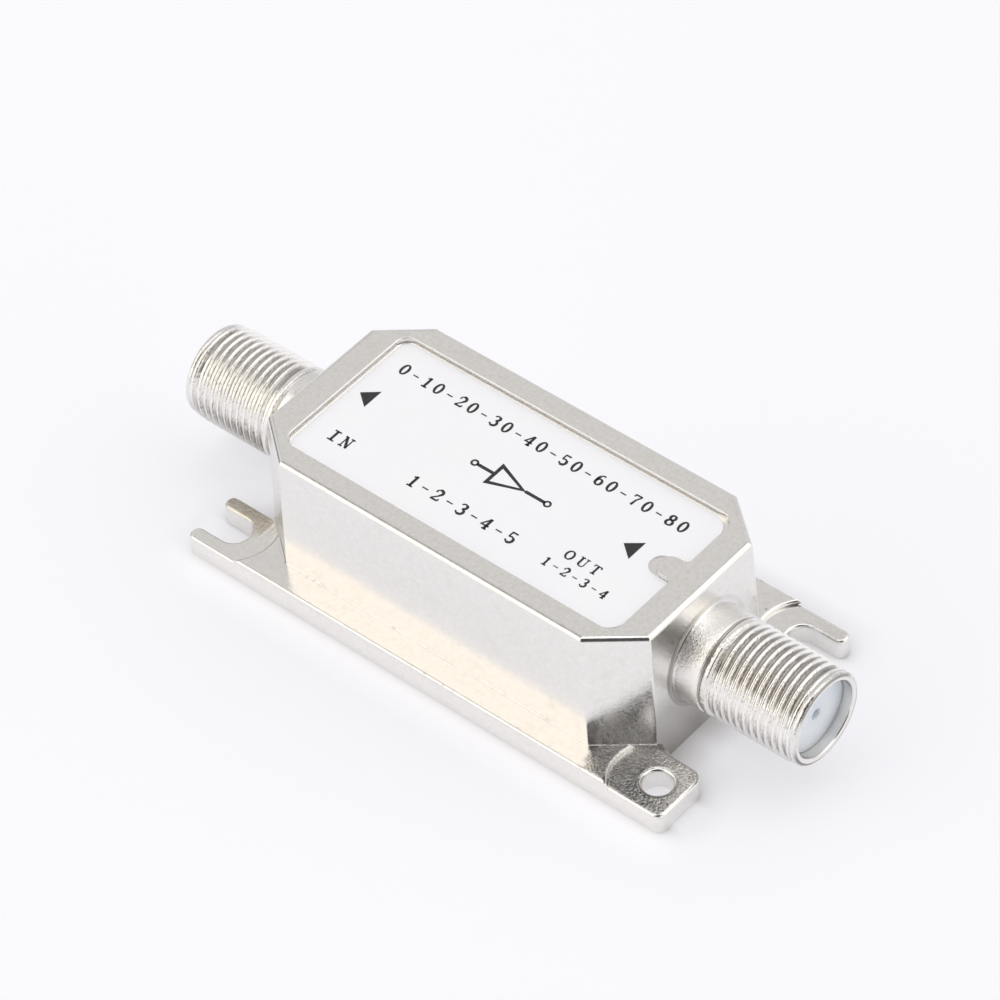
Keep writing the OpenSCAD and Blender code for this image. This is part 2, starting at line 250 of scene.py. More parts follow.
def body():
    soft = 0.46
    rings = [at(body_outline(0), 0)]
    # a small fillet where the long walls and the corners stand on the flange
    foot = 0.11
    for z, out in [(1.4, foot)] + [(FL_T + foot * (1 - math.cos(math.pi / 2 * k / 4)), foot * (1 - math.sin(math.pi / 2 * k / 4))) for k in range(5)]:
        o = body_outline(z)
        hl = max(p[0] for p in o)
        rings.append(at([(min(hl, max(-hl, p[0])), p[1]) for p in (inset(o, -out) if out > 1e-6 else o)], z))
    for k in range(2, 8):
        z = (BOX_H - soft) * k / 7
        rings.append(at(body_outline(z), z))
    for k in range(1, 7):
        w = math.pi / 2 * k / 6
        rings.append(at(inset(body_outline(BOX_H - soft + soft * math.sin(w)), soft * (1 - math.cos(w))), BOX_H - soft + soft * math.sin(w)))
    bm = bmesh.new()
    rows = add_loft(bm, rings, cap=False)
    bm.faces.new(rows[0][::-1])
    # the label's pocket, with a softened rim and floor corner
    o = keyed_outline(19.15, 8.4, 18.2, 1.2, 1.3, 1.3, 0.5)
    b, t = 0.1, 0.09
    crisp = [0.12 if p[0] > 16.5 and -1.2 < p[1] < 2.4 and p[0] < 19.0 else 1.0 for p in o]
    inner = []
    for k in range(5):
        w = math.pi / 2 * k / 4
        wide = inset(o, -t * (1 - math.sin(w)))
        inner.append([(p[0] + (q[0] - p[0]) * c, p[1] + (q[1] - p[1]) * c, BOX_H - t * (1 - math.cos(w)) * c) for p, q, c in zip(o, wide, crisp)])
    for k in range(4):
        w = math.pi / 2 * k / 3
        inner.append(at(inset(o, b * (1 - math.cos(w))), BOX_H - POCKET_D + b * (1 - math.sin(w))))
    low = add_loft(bm, inner, cap=False)
    bm.faces.new(low[-1])
    loops = []
    for row in (rows[-1], low[0]):
        for i in range(len(row)):
            loops.append(bm.edges.get((row[i - 1], row[i])))
    bmesh.ops.triangle_fill(bm, use_beauty=True, use_dissolve=False, edges=loops, normal=(0, 0, 1))
    return to_object(bm, "housing")


def flange():
    a = math.degrees(math.atan2(-(FL_HW - SCREW_Y), -math.sqrt(SPOT_R**2 - (FL_HW - SCREW_Y) ** 2)))
    right_arc = arc(SCREW_X, -SCREW_Y, SPOT_R, 180 + (180 + a), 150, 26)
    left_arc = [(-x, y) for x, y in right_arc[::-1]]
    return plate("flange", right_arc + left_arc, 0, FL_T, top=0.3, bottom=0.12, seg=4)


def hole_ear():
    y0 = -(FL_HW - 0.003)
    o = fillet_corners([(17, y0), (EAR_HL, y0), (EAR_HL, -EAR_IN), (24.1, -EAR_IN), (22.5, -EAR_IN + 0.65), (17, -EAR_IN + 0.65)], [0, 0.95, 1.35, 1.4, 0, 0], 8)
    return plate("ear", o, 0, EAR_T, top=0.28, bottom=0.12, seg=4)


def slot_ear():
    y0 = -(FL_HW - 0.003)
    xc = SCREW_X - 0.3
    # drawn at the +X -Y corner, then mirrored
    head = fillet_corners([(17, y0), (EAR_HL, y0), (EAR_HL, -SCREW_Y - SLOT_R)], [0, 0.74, 0], 7)[:-1]
    tail = fillet_corners([(EAR_HL, -SCREW_Y + SLOT_R), (EAR_HL, -EAR_IN), (17, -EAR_IN)], [0, 0.72, 0], 7)[1:]
    lip1 = arc(EAR_HL - 0.74, -SCREW_Y - SLOT_R - 0.74 + 0.02, 0.74, 4, 90, 6)
    lip2 = arc(EAR_HL - 0.72, -SCREW_Y + SLOT_R + 0.72 - 0.02, 0.72, 270, 356, 6)
    inner = arc(xc, -SCREW_Y, SLOT_R - 0.02, 270, 90, 28)
    o = head + lip1 + inner + lip2 + tail
    o = [(-x, y) for x, y in o[::-1]]
    return plate("ear", o, 0, EAR_T, top=0.28, bottom=0.12, seg=4)


def hole_cutter():
    ring = lambda r, z: [(SCREW_X + r * math.cos(2 * math.pi * k / 56), -SCREW_Y + r * math.sin(2 * math.pi * k / 56), z) for k in range(56)]
    f = 0.26
    rings = [ring(HOLE_R + 0.12, -1), ring(HOLE_R + 0.12, 0), ring(HOLE_R, 0.12)]
    rings += [ring(HOLE_R + f * (1 - math.cos(math.pi / 2 * k / 5)), EAR_T - f + f * math.sin(math.pi / 2 * k / 5)) for k in range(6)]
    rings.append(ring(HOLE_R + f, EAR_T + 1))
    return loft("cut", rings)


N_RING = 128
ROWS = 20
PITCH = 0.79375
CREST_R, ROOT_R = 4.72, 4.34


def thread_form(t):
    """Narrow rounded crest and a broad root; 0 to 1, with the crest at t = 0."""
    t = abs((t + 0.5) % 1.0 - 0.5)
    k = min(1.0, max(0.0, (0.38 - t) / 0.31))
    return 0.93 * (0.35 * k + 0.65 * k * k * (3 - 2 * k)) + 0.07 * math.cos(math.pi * t) ** 2


def port():
    bm = bmesh.new()
    ang = [2 * math.pi * j / N_RING for j in range(N_RING)]
    pt = lambda x, r, j: Vector((x, r * math.cos(ang[j]), PORT_Z + r * math.sin(ang[j])))
    wall = lambda r, j: BASE_HL + (TOP_HL - BASE_HL) * (PORT_Z + r * math.sin(ang[j])) / BOX_H
    rows = []
    f = 0.36
    rows.append([bm.verts.new(pt(wall(4.75, j) - 0.7, 4.75 + f, j)) for j in range(N_RING)])
    for k in range(6):
        w = math.pi / 2 * k / 5
        r = 4.75 + f * (1 - math.sin(w))
        rows.append([bm.verts.new(pt(wall(r, j) + f * (1 - math.cos(w)), r, j)) for j in range(N_RING)])
    # boss, groove, collar
    for x, r in ((23.4, 4.75), (24.2, 4.75), (24.88, 4.75), (24.96, 4.735), (25.02, 4.7), (25.06, 4.64), (25.1, 4.57), (25.15, 4.54), (25.21, 4.54),
                 (25.27, 4.57), (25.32, 4.63), (25.36, 4.69), (25.42, 4.71), (25.5, 4.72), (25.74, 4.72), (25.82, 4.7), (25.88, 4.64), (25.98, 4.42), (26.04, 4.36)):
        rows.append([bm.verts.new(pt(x, r, j)) for j in range(N_RING)])
    xs, xe = 26.08, 34.5
    u0, u1 = -1.7, 11.1
    count = int((u1 - u0) * ROWS) + 1
    grid = []
    for i in range(count):
        u = u0 + i / ROWS
        line = []
        for j in range(N_RING):
            x = 26.55 + PITCH * (u + j / N_RING)
            e = min(1.0, max(0.0, (x - 26.1) / 0.4)) * min(1.0, max(0.0, (34.5 - x) / 0.2))
            e = e * e * (3 - 2 * e)
            # the plated crests are a little uneven
            wob = 0.012 * math.sin(5 * ang[j] + 1.7 * u) + 0.01 * math.sin(11 * ang[j] - 2.3 * u)
            r = ROOT_R + (CREST_R - ROOT_R) * thread_form(u) * e * (1 + wob * 0.6)
            x = min(xe, max(xs, x))
            line.append(bm.verts.new(pt(x, min(r, CREST_R) if xs < x < xe else ROOT_R, j)))
        grid.append(line)
    n = N_RING
    for i in range(count - 1):
        for j in range(n):
            a = grid[i][j]
            b = grid[i + 1][j]
            if j + 1 < n:
                c, d = grid[i + 1][j + 1], grid[i][j + 1]
            else:
                c = grid[min(count - 1, i + 1 + ROWS)][0]
                d = grid[min(count - 1, i + ROWS)][0]
            if len({a, b, c, d}) == 4:
                bm.faces.new((a, b, c, d))
    for a, b in zip(rows, rows[1:]):
        for i in range(n):
            j = (i + 1) % n
            bm.faces.new((a[i], b[i], b[j], a[j]))
    first, last = grid[0], grid[-1]
    for i in range(n):
        j = (i + 1) % n
        bm.faces.new((rows[-1][i], first[i], first[j], rows[-1][j]))
    tail = [last]
    lead = ((34.54, 4.36), (34.58, 4.42), (34.64, 4.53), (34.72, 4.58), (34.84, 4.58), (34.92, 4.54), (34.97, 4.49), (35.03, 4.49), (35.09, 4.53), (35.18, 4.55),
            (35.3, 4.55), (35.4, 4.53), (35.47, 4.49), (35.53, 4.43), (35.57, 4.36), (35.59, 4.29), (35.6, 4.22))
    for x, r in lead:
        tail.append([bm.verts.new(pt(x, r, j)) for j in range(n)])
    for a, b in zip(tail, tail[1:]):
        for i in range(n):
            j = (i + 1) % n
            bm.faces.new((a[i], b[i], b[j], a[j]))
    bm.faces.new(tail[-1])
    bm.faces.new(rows[0][::-1])
    bmesh.ops.remove_doubles(bm, verts=bm.verts[:], dist=2e-4)
    bmesh.ops.dissolve_degenerate(bm, edges=bm.edges[:], dist=1e-4)
    return to_object(bm, "port")


def tube_cutter(points, n=N_RING):
    """A turned cutter along the port axis from (x, r) pairs."""
    ring = lambda x, r: [(x, r * math.cos(2 * math.pi * k / n), PORT_Z + r * math.sin(2 * math.pi * k / n)) for k in range(n)]
    return loft("cut", [ring(x, r) for x, r in points])


def bore_cutter():
    f = 0.2
    pts = [(24.0, 3.78)]
    pts += [(FACE_X - f + f * math.sin(math.pi / 2 * k / 5), 3.78 + f * (1 - math.cos(math.pi / 2 * k / 5))) for k in range(6)]
    pts += [(FACE_X + 1.5, 3.78 + f)]
    return tube_cutter(pts)


def cavity_cutters():
    z1 = BOX_H - POCKET_D - 1.4
    a = plate("cut", fillet_corners(octagon(20.9, 9.55, CX - 0.5, CY - 0.4), 0.5, 4), -1, z1, top=0.4, seg=3)
    b = plate("cut", fillet_corners(octagon(21.4, 10.05, CX - 0.4, CY - 0.3), 0.3, 4), -1, 0.9)
    return [a, b]


def make_housing():
    h = body()
    fl, he, se = flange(), hole_ear(), slot_ear()
    po = port()
    boolean(h, [fl, he, se, po] + [turned(o) for o in (fl, he, se, po)], "UNION")
    hc, bc = hole_cutter(), bore_cutter()
    inner = tube_cutter([(19.0, 2.5), (25.0, 2.5)], 64)
    cuts = [hc, turned(hc), bc, turned(bc), inner, turned(inner)] + cavity_cutters()
    boolean(h, cuts, "DIFFERENCE")
    extra = []
    z1 = BOX_H - POCKET_D - 1.2
    for x in (-12.4, 0, 12.4):
        for s in (-1, 1):
            ya, yb = (8.65, 9.85) if s > 0 else (-9.85, -8.65)
            o = fillet_corners([(x - 0.6, ya), (x + 0.6, ya), (x + 0.6, yb), (x - 0.6, yb)], 0.2, 3)
            extra.append(plate("rib", o, BOARD, z1))
    pips = [(x, s * 10.3) for x in (-11, 0, 11) for s in (-1, 1)] + [(s * 21.6, 0) for s in (-1, 1)]
    for x, y in pips:
        ring = lambda r, z: [(x + r * math.cos(2 * math.pi * k / 28) * 1.0, y + r * math.sin(2 * math.pi * k / 28), z) for k in range(28)]
        extra.append(loft("pip", [ring(0.5, 0.06), ring(0.6, 0.02), ring(0.72, 0.0), ring(0.8, 0.05), ring(0.84, 0.14), ring(0.85, 0.3), ring(0.7, 0.32)]))
    boolean(h, extra, "UNION")
    h.name = "cast_housing"
    finish_mesh(h)
    return h


housing = make_housing()
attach(housing, "root")
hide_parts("housing")


# ---------------------------------------------------------------- label
def stroke(pts, w, closed=False):
    """A pen line as one closed outline pair: returns left and right points."""
    left, rightp = [], []
    n = len(pts)
    for i in range(n):
        p = Vector(pts[i])
        if closed:
            a, b = Vector(pts[i - 1]), Vector(pts[(i + 1) % n])
        else:
            a = Vector(pts[i - 1]) if i else None
            b = Vector(pts[i + 1]) if i < n - 1 else None
        d0 = (p - a).normalized() if a is not None else None
        d1 = (b - p).normalized() if b is not None else None
        d0 = d0 or d1
        d1 = d1 or d0
        n0, n1 = Vector((-d0.y, d0.x)), Vector((-d1.y, d1.x))
        wi = w[round(i * (len(w) - 1) / (n - 1))] if isinstance(w, (list, tuple)) else w
        q = (n0 + n1) * (wi / 2 / max(0.35, 1 + n0.dot(n1)))
        left.append(p + q)
        rightp.append(p - q)
    return left, rightp


def curve(cx, cy, rx, ry, a0, a1, n=14):
    return [(cx + rx * math.cos(math.radians(a0 + (a1 - a0) * k / n)), cy + ry * math.sin(math.radians(a0 + (a1 - a0) * k / n))) for k in range(n + 1)]


def ring_pts(cx, cy, rx, ry, n=24):
    return [(cx + rx * math.cos(2 * math.pi * k / n), cy + ry * math.sin(2 * math.pi * k / n)) for k in range(n)]


def fat(pts, lo, hi):
    """Pen widths for a closed ring: wide at the sides, thin at top and bottom."""
    cx = sum(p[0] for p in pts) / len(pts)
    rx = max(abs(p[0] - cx) for p in pts)
    return [lo + (hi - lo) * abs(p[0] - cx) / rx for p in pts]


TH, TN = 0.2, 0.12  # thick and thin pen, as a share of the height


def glyph(ch):
    """Pen strokes of a character on a box 0.62 wide and 1 high: (points, width, closed)."""
    g = []
    s = lambda pts, w=TH, closed=False: g.append((pts, w, closed))
    o = lambda cx, cy, rx, ry: s(ring_pts(cx, cy, rx, ry), fat(ring_pts(cx, cy, rx, ry), TN, TH), True)
    serif = lambda x, y, w=0.3: s([(x - w / 2, y), (x + w / 2, y)], TN)
    if ch == "0":
        o(0.31, 0.5, 0.21, 0.455)
    elif ch == "1":
        s([(0.33, 0.0), (0.33, 0.97)])
        s([(0.34, 0.94), (0.25, 0.86), (0.14, 0.82)], TN)
        serif(0.33, 0.04, 0.4)
    elif ch == "2":
        s([(0.1, 0.66)] + curve(0.3, 0.74, 0.2, 0.215, 160, -20, 12) + [(0.36, 0.42), (0.1, 0.1)], [TN] * 2 + [0.1] * 3 + [TH] * 8 + [0.12, 0.1])
        s([(0.07, 0.07), (0.54, 0.07)], 0.14)
        s([(0.53, 0.06), (0.55, 0.24)], TN)
    elif ch == "3":
        s([(0.11, 0.8)] + curve(0.28, 0.745, 0.19, 0.2, 140, -90, 12), [TN] * 4 + [0.12] * 2 + [TH] * 6 + [TN] * 2)
        s(curve(0.28, 0.28, 0.23, 0.24, 90, -150, 14) + [(0.07, 0.2)], [TN] * 2 + [0.12] + [TH] * 9 + [TN] * 4)
    elif ch == "4":
        s([(0.4, 0.0), (0.4, 0.97)])
        s([(0.38, 0.95), (0.06, 0.31), (0.57, 0.31)], TN)
        serif(0.4, 0.04, 0.28)
    elif ch == "5":
        s([(0.13, 0.93), (0.5, 0.93)], 0.13)
        s([(0.14, 0.96), (0.12, 0.52)], TN)
        s([(0.12, 0.53)] + curve(0.29, 0.31, 0.22, 0.26, 115, -150, 14) + [(0.08, 0.22)], [TN] * 3 + [0.12] * 2 + [TH] * 8 + [TN] * 4)
    elif ch == "6":
        o(0.32, 0.31, 0.2, 0.27)
        s([(0.13, 0.36)] + curve(0.42, 0.5, 0.3, 0.45, 185, 100, 10) + [(0.48, 0.9)], [TH] * 7 + [TN] * 6)
    elif ch == "7":
        s([(0.08, 0.93), (0.55, 0.93)], 0.13)
        s([(0.1, 0.95), (0.08, 0.74)], TN)
        s([(0.53, 0.93), (0.34, 0.5), (0.28, 0.0)], [TN, 0.13, TH])
    elif ch == "8":
        o(0.31, 0.745, 0.17, 0.2)
        o(0.31, 0.275, 0.21, 0.235)
    elif ch == "9":
        o(0.3, 0.69, 0.2, 0.27)
        s([(0.49, 0.64)] + curve(0.2, 0.5, 0.3, 0.45, 5, -80, 10) + [(0.14, 0.1)], [TH] * 7 + [TN] * 6)
    elif ch == "I":
        s([(0.31, 0.0), (0.31, 1.0)])
        serif(0.31, 0.04, 0.42)
        serif(0.31, 0.96, 0.42)
    elif ch == "N":
        s([(0.13, 0.0), (0.13, 1.0)], 0.1)
        s([(0.11, 0.98), (0.5, 0.02)], TH)
        s([(0.5, 0.0), (0.5, 1.0)], 0.1)
        serif(0.13, 0.04, 0.24)
        serif(0.1, 0.96, 0.2)
        serif(0.5, 0.96, 0.24)
    elif ch == "O":
        o(0.31, 0.5, 0.24, 0.455)
    elif ch == "U":
        s([(0.13, 0.97), (0.13, 0.3)] + curve(0.31, 0.28, 0.18, 0.235, 180, 360, 12)[1:] + [(0.49, 0.97)], [TH] * 4 + [0.12] * 3 + [TN] * 4 + [0.1] * 4)
        serif(0.13, 0.96, 0.28)
        serif(0.49, 0.96, 0.24)
    elif ch == "T":
        s([(0.31, 0.0), (0.31, 0.97)])
        s([(0.06, 0.95), (0.56, 0.95)], 0.1)
        s([(0.08, 0.95), (0.07, 0.76)], TN)
        s([(0.54, 0.95), (0.55, 0.76)], TN)
        serif(0.31, 0.04, 0.3)
    elif ch == "-":
        s([(0.1, 0.46), (0.52, 0.46)], 0.1)
    elif ch == "|":
        s([(0.31, 0.1), (0.31, 0.72)], 0.09)
    return g


LABEL_TOP = BOX_H - POCKET_D + 0.12


def make_label():
    hl, hw, r1, r2 = 18.92, 8.2, 1.1, 1.9
    o = keyed_outline(hl, hw, 17.25, 1.22, r1, r2, 0.3)
    bm = bmesh.new()
    z0 = BOX_H - POCKET_D
    e = 0.03
    rings = [at(o, z0), at(o, LABEL_TOP - e), at(inset(o, e * 0.3), LABEL_TOP - e * 0.3), at(inset(o, e), LABEL_TOP)]
    add_loft(bm, rings)
    sheet = len(bm.faces)
    za, zb = LABEL_TOP - 0.02, LABEL_TOP + 0.014

    def ink_stroke(pts, w, closed):
        left, rightp = stroke(pts, w, closed)
        la = [bm.verts.new((p.x, p.y, zb)) for p in left]
        ra = [bm.verts.new((p.x, p.y, zb)) for p in rightp]
        lb = [bm.verts.new((p.x, p.y, za)) for p in left]
        rb = [bm.verts.new((p.x, p.y, za)) for p in rightp]
        n = len(pts)
        for i in range(n if closed else n - 1):
            j = (i + 1) % n
            bm.faces.new((la[i], ra[i], ra[j], la[j]))
            bm.faces.new((lb[i], lb[j], rb[j], rb[i]))
            bm.faces.new((la[i], la[j], lb[j], lb[i]))
            bm.faces.new((ra[i], rb[i], rb[j], ra[j]))
        if not closed:
            bm.faces.new((la[0], lb[0], rb[0], ra[0]))
            bm.faces.new((la[-1], ra[-1], rb[-1], lb[-1]))

    def solid(poly):
        top = [bm.verts.new((x, y, zb)) for x, y in poly]
        low = [bm.verts.new((x, y, za)) for x, y in poly]
        bm.faces.new(top)
        bm.faces.new(low[::-1])
        for i in range(len(poly)):
            j = (i + 1) % len(poly)
            bm.faces.new((top[i], low[i], low[j], top[j]))

    def word(text, x, y, size, step, slant=0.0, wide=1.0):
        for ch in text:
            for pts, w, closed in glyph(ch):
                scale = lambda v: [c * size for c in v] if isinstance(v, (list, tuple)) else v * size
                ink_stroke([(x + (px * wide + slant * py) * size, y + py * size) for px, py in pts], scale(w), closed)
            x += step

    # arrows of the feed
    solid([(-17.85, 0.63), (-16.32, -0.53), (-16.32, 1.86)])
    solid([(12.87, 0.64), (14.41, -0.57), (14.41, 1.82)])
    # scale of plain numbers along the top
    word("0-10-20-30-40-50-60-70-80", -16.95, 4.6, 1.34, 1.345, wide=1.12)
    # sign of an amplifier: a triangle in a line
    ink_stroke([(-1.55, -1.0), (-1.55, 1.4), (1.75, 0.2)], 0.36, True)
    ink_stroke([(-3.6, 0.2), (-1.72, 0.2)], 0.34, False)
    ink_stroke([(2.0, 0.2), (4.3, 0.2)], 0.34, False)
    ink_stroke(ring_pts(-3.85, 0.2, 0.3, 0.3, 24), 0.2, True)
    ink_stroke(ring_pts(4.55, 0.2, 0.3, 0.3, 24), 0.2, True)
    # small scale
    word("1-2-3-4-5", -7.2, -5.5, 1.4, 1.42, wide=1.15)
    # ends
    word("IN", -16.6, -5.5, 1.3, 1.45, wide=1.35)
    word("OUT", 9.6, -3.85, 1.1, 1.45, wide=1.4)
    word("1-2-3-4", 8.5, -5.6, 1.05, 1.08, wide=1.15)
    ob = to_object(bm, "printed_label")
    me = ob.data
    idx = [0] * len(me.polygons)
    for p in me.polygons:
        if p.index >= sheet:
            idx[p.index] = 1
    me.polygons.foreach_set("material_index", idx)
    finish_mesh(ob, 40)
    return ob


label = make_label()
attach(label, "root")
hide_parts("label")


# ---------------------------------------------------------------- inner pieces
def merge(bm, other, mat=0, matrix=None):
    for f in other.faces:
        f.material_index = mat
    if matrix is not None:
        bmesh.ops.transform(other, matrix=matrix, verts=other.verts[:])
    bmesh.ops.recalc_face_normals(other, faces=other.faces[:])
    me = bpy.data.meshes.new("t")
    other.to_mesh(me)
    other.free()
    bm.from_mesh(me)
    bpy.data.meshes.remove(me)


def block(bm, box, soft=0.06, mat=0, matrix=None, draft=0.0, seg=2):
    x0, x1, y0, y1, z0, z1 = box
    b = bmesh.new()
    bmesh.ops.create_cube(b, size=1)
    for v in b.verts:
        k = draft if v.co.z > 0 else 0.0
        v.co = ((x0 + x1) / 2 + v.co.x * (x1 - x0 - 2 * k), (y0 + y1) / 2 + v.co.y * (y1 - y0 - 2 * k), (z0 + z1) / 2 + v.co.z * (z1 - z0))
    bmesh.ops.bevel(b, geom=b.edges[:], offset=soft, segments=seg, profile=0.5, affect="EDGES")
    merge(bm, b, mat, matrix)


def turn(bm, profile, cx=0.0, cy=0.0, n=48, mat=0, ring=False, along_x=False, z=0.0, mats=None):
    """Turns (r, h) pairs round an upright axis, or round the port axis."""
    b = bmesh.new()
    rows = []
    for r, h in profile:
        row = []
        for i in range(n):
            w = 2 * math.pi * i / n
            if along_x:
                row.append(b.verts.new((h, r * math.cos(w), PORT_Z + r * math.sin(w))))
            else:
                row.append(b.verts.new((cx + r * math.cos(w), cy + r * math.sin(w), z + h)))
        rows.append(row)
    pairs = list(zip(rows, rows[1:]))
    if ring:
        pairs.append((rows[-1], rows[0]))
    for a, c in pairs:
        for i in range(n):
            j = (i + 1) % n
            b.faces.new((a[i], a[j], c[j], c[i]))
    if not ring:
        b.faces.new(rows[0][::-1])
        b.faces.new(rows[-1])
    merge(bm, b, mat)


def wire(bm, path, r, seg=10, mat=0):
    """A round wire along a path, with rounded ends."""
    b = bmesh.new()
    pts = [Vector(p) for p in path]
    tangents = [(pts[min(i + 1, len(pts) - 1)] - pts[max(i - 1, 0)]).normalized() for i in range(len(pts))]
    side = tangents[0].orthogonal().normalized()
    rows = []
    for i, (p, t) in enumerate(zip(pts, tangents)):
        side = (side - t * side.dot(t)).normalized()
        other = t.cross(side)
        k = r * (0.6 if i in (0, len(pts) - 1) else 1.0)
        rows.append([b.verts.new(p + side * (k * math.cos(2 * math.pi * j / seg)) + other * (k * math.sin(2 * math.pi * j / seg))) for j in range(seg)])
    for a, c in zip(rows, rows[1:]):
        for j in range(seg):
            q = (j + 1) % seg
            b.faces.new((a[j], a[q], c[q], c[j]))
    b.faces.new(rows[0][::-1])
    b.faces.new(rows[-1])
    merge(bm, b, mat)


def strip(bm, pts, thick, half, axis, mid=0.0, mat=0, matrix=None):
    """A flat strip bent in one plane: pts are (along, z); the width runs along the other axis."""
    left, rightp = stroke(pts, thick)
    outline = left + rightp[::-1]
    b = bmesh.new()
    place = (lambda p, w: (p.x, w, p.y)) if axis == "x" else (lambda p, w: (w, p.x, p.y))
    lo = [b.verts.new(place(p, mid - half)) for p in left + rightp]
    hi = [b.verts.new(place(p, mid + half)) for p in left + rightp]
    n = len(left)
    for i in range(n - 1):
        for row in (lo, hi):
            b.faces.new((row[i], row[i + 1], row[n + i + 1], row[n + i]))
        b.faces.new((lo[i], lo[i + 1], hi[i + 1], hi[i]))
        b.faces.new((lo[n + i], hi[n + i], hi[n + i + 1], lo[n + i + 1]))
    for i in (0, n - 1):
        b.faces.new((lo[i], hi[i], hi[n + i], lo[n + i]))
    merge(bm, b, mat, matrix)


dressed = []


def piece(bm, name, node, slot, *mats, angle=35):
    ob = to_object(bm, name)
    finish_mesh(ob, angle, weighted=False)
    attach(ob, "root")
    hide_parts(node)
    dressed.append((ob, (slot,) + mats))
    return ob


def half_turn(bm):
    bmesh.ops.transform(bm, matrix=Matrix.Rotation(math.pi, 4, "Z"), verts=bm.verts[:])


for end in ("output", "input"):
    # insulator with an eased front edge and a tapered entry
    bm = bmesh.new()
    prof = [(2.46, 21.0), (2.46, 24.0), (3.75, 24.0), (3.75, 34.38), (3.735, 34.43), (3.70, 34.47), (3.65, 34.49), (3.58, 34.5), (2.2, 34.5), (0.68, 34.5), (0.65, 34.495),
            (0.61, 34.48), (0.58, 34.45), (0.56, 34.4), (0.553, 34.3), (0.55, 34.1), (0.55, 33.4), (1.2, 33.4), (1.2, 21.0)]
    turn(bm, prof, n=96, ring=True, along_x=True)
    if end == "input":
        half_turn(bm)
    piece(bm, end + "_insulator_body", end + "_insulator", "insulator_plastic", angle=40)
    # contact: slit spring tube and a flat tail down to the board
    bm = bmesh.new()
    prof = [(1.02, 22.6), (1.1, 22.7), (1.1, 32.5), (1.06, 32.9), (0.96, 33.12), (0.84, 33.2), (0.7, 33.2), (0.6, 33.12), (0.55, 32.95), (0.55, 24.0), (0.3, 23.8), (0.3, 22.6)]
    turn(bm, prof, n=48, ring=True, along_x=True)
    tube_ob = to_object(bm, "tube")
    slit = bmesh.new()
    block(slit, (29, 37, -0.12, 0.12, PORT_Z - 2, PORT_Z + 2), 0.03)
    slit_ob = to_object(slit, "slit")
    boolean(tube_ob, [slit_ob], "DIFFERENCE")
    tail = bmesh.new()
    path = [(22.75, PORT_Z), (19.75, PORT_Z), (19.6, PORT_Z - 0.03), (19.5, PORT_Z - 0.12), (19.46, PORT_Z - 0.3), (19.46, 6.45), (19.42, 6.3), (19.33, 6.22), (19.2, 6.2), (17.9, 6.2)]
    strip(tail, path, 0.3, 0.55, "x")
    bm = bmesh.new()
    bm.from_mesh(tube_ob.data)
    bmesh.ops.scale(bm, vec=(1000, 1000, 1000), verts=bm.verts[:])
    spare = tube_ob.data
    bpy.data.objects.remove(tube_ob)
    bpy.data.meshes.remove(spare)
    merge(bm, tail)
    if end == "input":
        half_turn(bm)
    piece(bm, end + "_contact_spring", end + "_contact", "contact_metal")

# bottom plate with eased edges
plate_poly = octagon(21.32, 9.97, CX - 0.4, CY - 0.3)
ob = plate("bottom_plate_sheet", fillet_corners(plate_poly, 0.35, 5), 0.3, 0.9, top=0.08, bottom=0.12, seg=3)
finish_mesh(ob, 35, weighted=False)
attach(ob, "root")
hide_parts("bottom_plate")
dressed.append((ob, ("tinned_plate",)))


def package(name, node, x, y, flip):
    m = Matrix.Translation((x, y, PART_Z)) @ (Matrix.Rotation(math.pi, 4, "Z") if flip else Matrix.Identity(4))
    bm = bmesh.new()
    block(bm, (-2.25, 2.25, -1.25, 1.25, 0.12, 0.8), 0.05, 0, m)
    block(bm, (-2.25, 2.25, -1.25, 1.25, 0.8, 1.5), 0.07, 0, m, draft=0.09)
    for lx in (-1.5, 0, 1.5):
        strip(bm, [(-1.15, 0.5), (-1.38, 0.5), (-1.48, 0.47), (-1.54, 0.4), (-1.6, 0.17), (-1.66, 0.1), (-1.76, 0.075), (-2.05, 0.075)], 0.15, 0.22, "y", lx, 1, m)
    strip(bm, [(1.15, 0.5), (1.34, 0.5), (1.44, 0.47), (1.5, 0.4), (1.54, 0.17), (1.6, 0.1), (1.7, 0.075), (1.95, 0.075)], 0.15, 0.85, "y", 0, 1, m)
    # moulded dot that marks the first lead
    b = bmesh.new()
    ring = lambda r, z: [(-1.75 + r * math.cos(2 * math.pi * k / 20), -0.75 + r * math.sin(2 * math.pi * k / 20), z) for k in range(20)]
    add_loft(b, [ring(0.2, 1.46), ring(0.2, 1.51), ring(0.17, 1.53)])
    merge(bm, b, 2, m)
    piece(bm, name, node, "package_plastic", "tinned_wire", "label_vinyl")


package("input_transistor_package", "input_transistor", -9.9, 0.6, False)
package("output_transistor_package", "output_transistor", 4.1, 0.6, False)
package("bias_regulator_package", "bias_regulator", 5.6, 5.0, True)

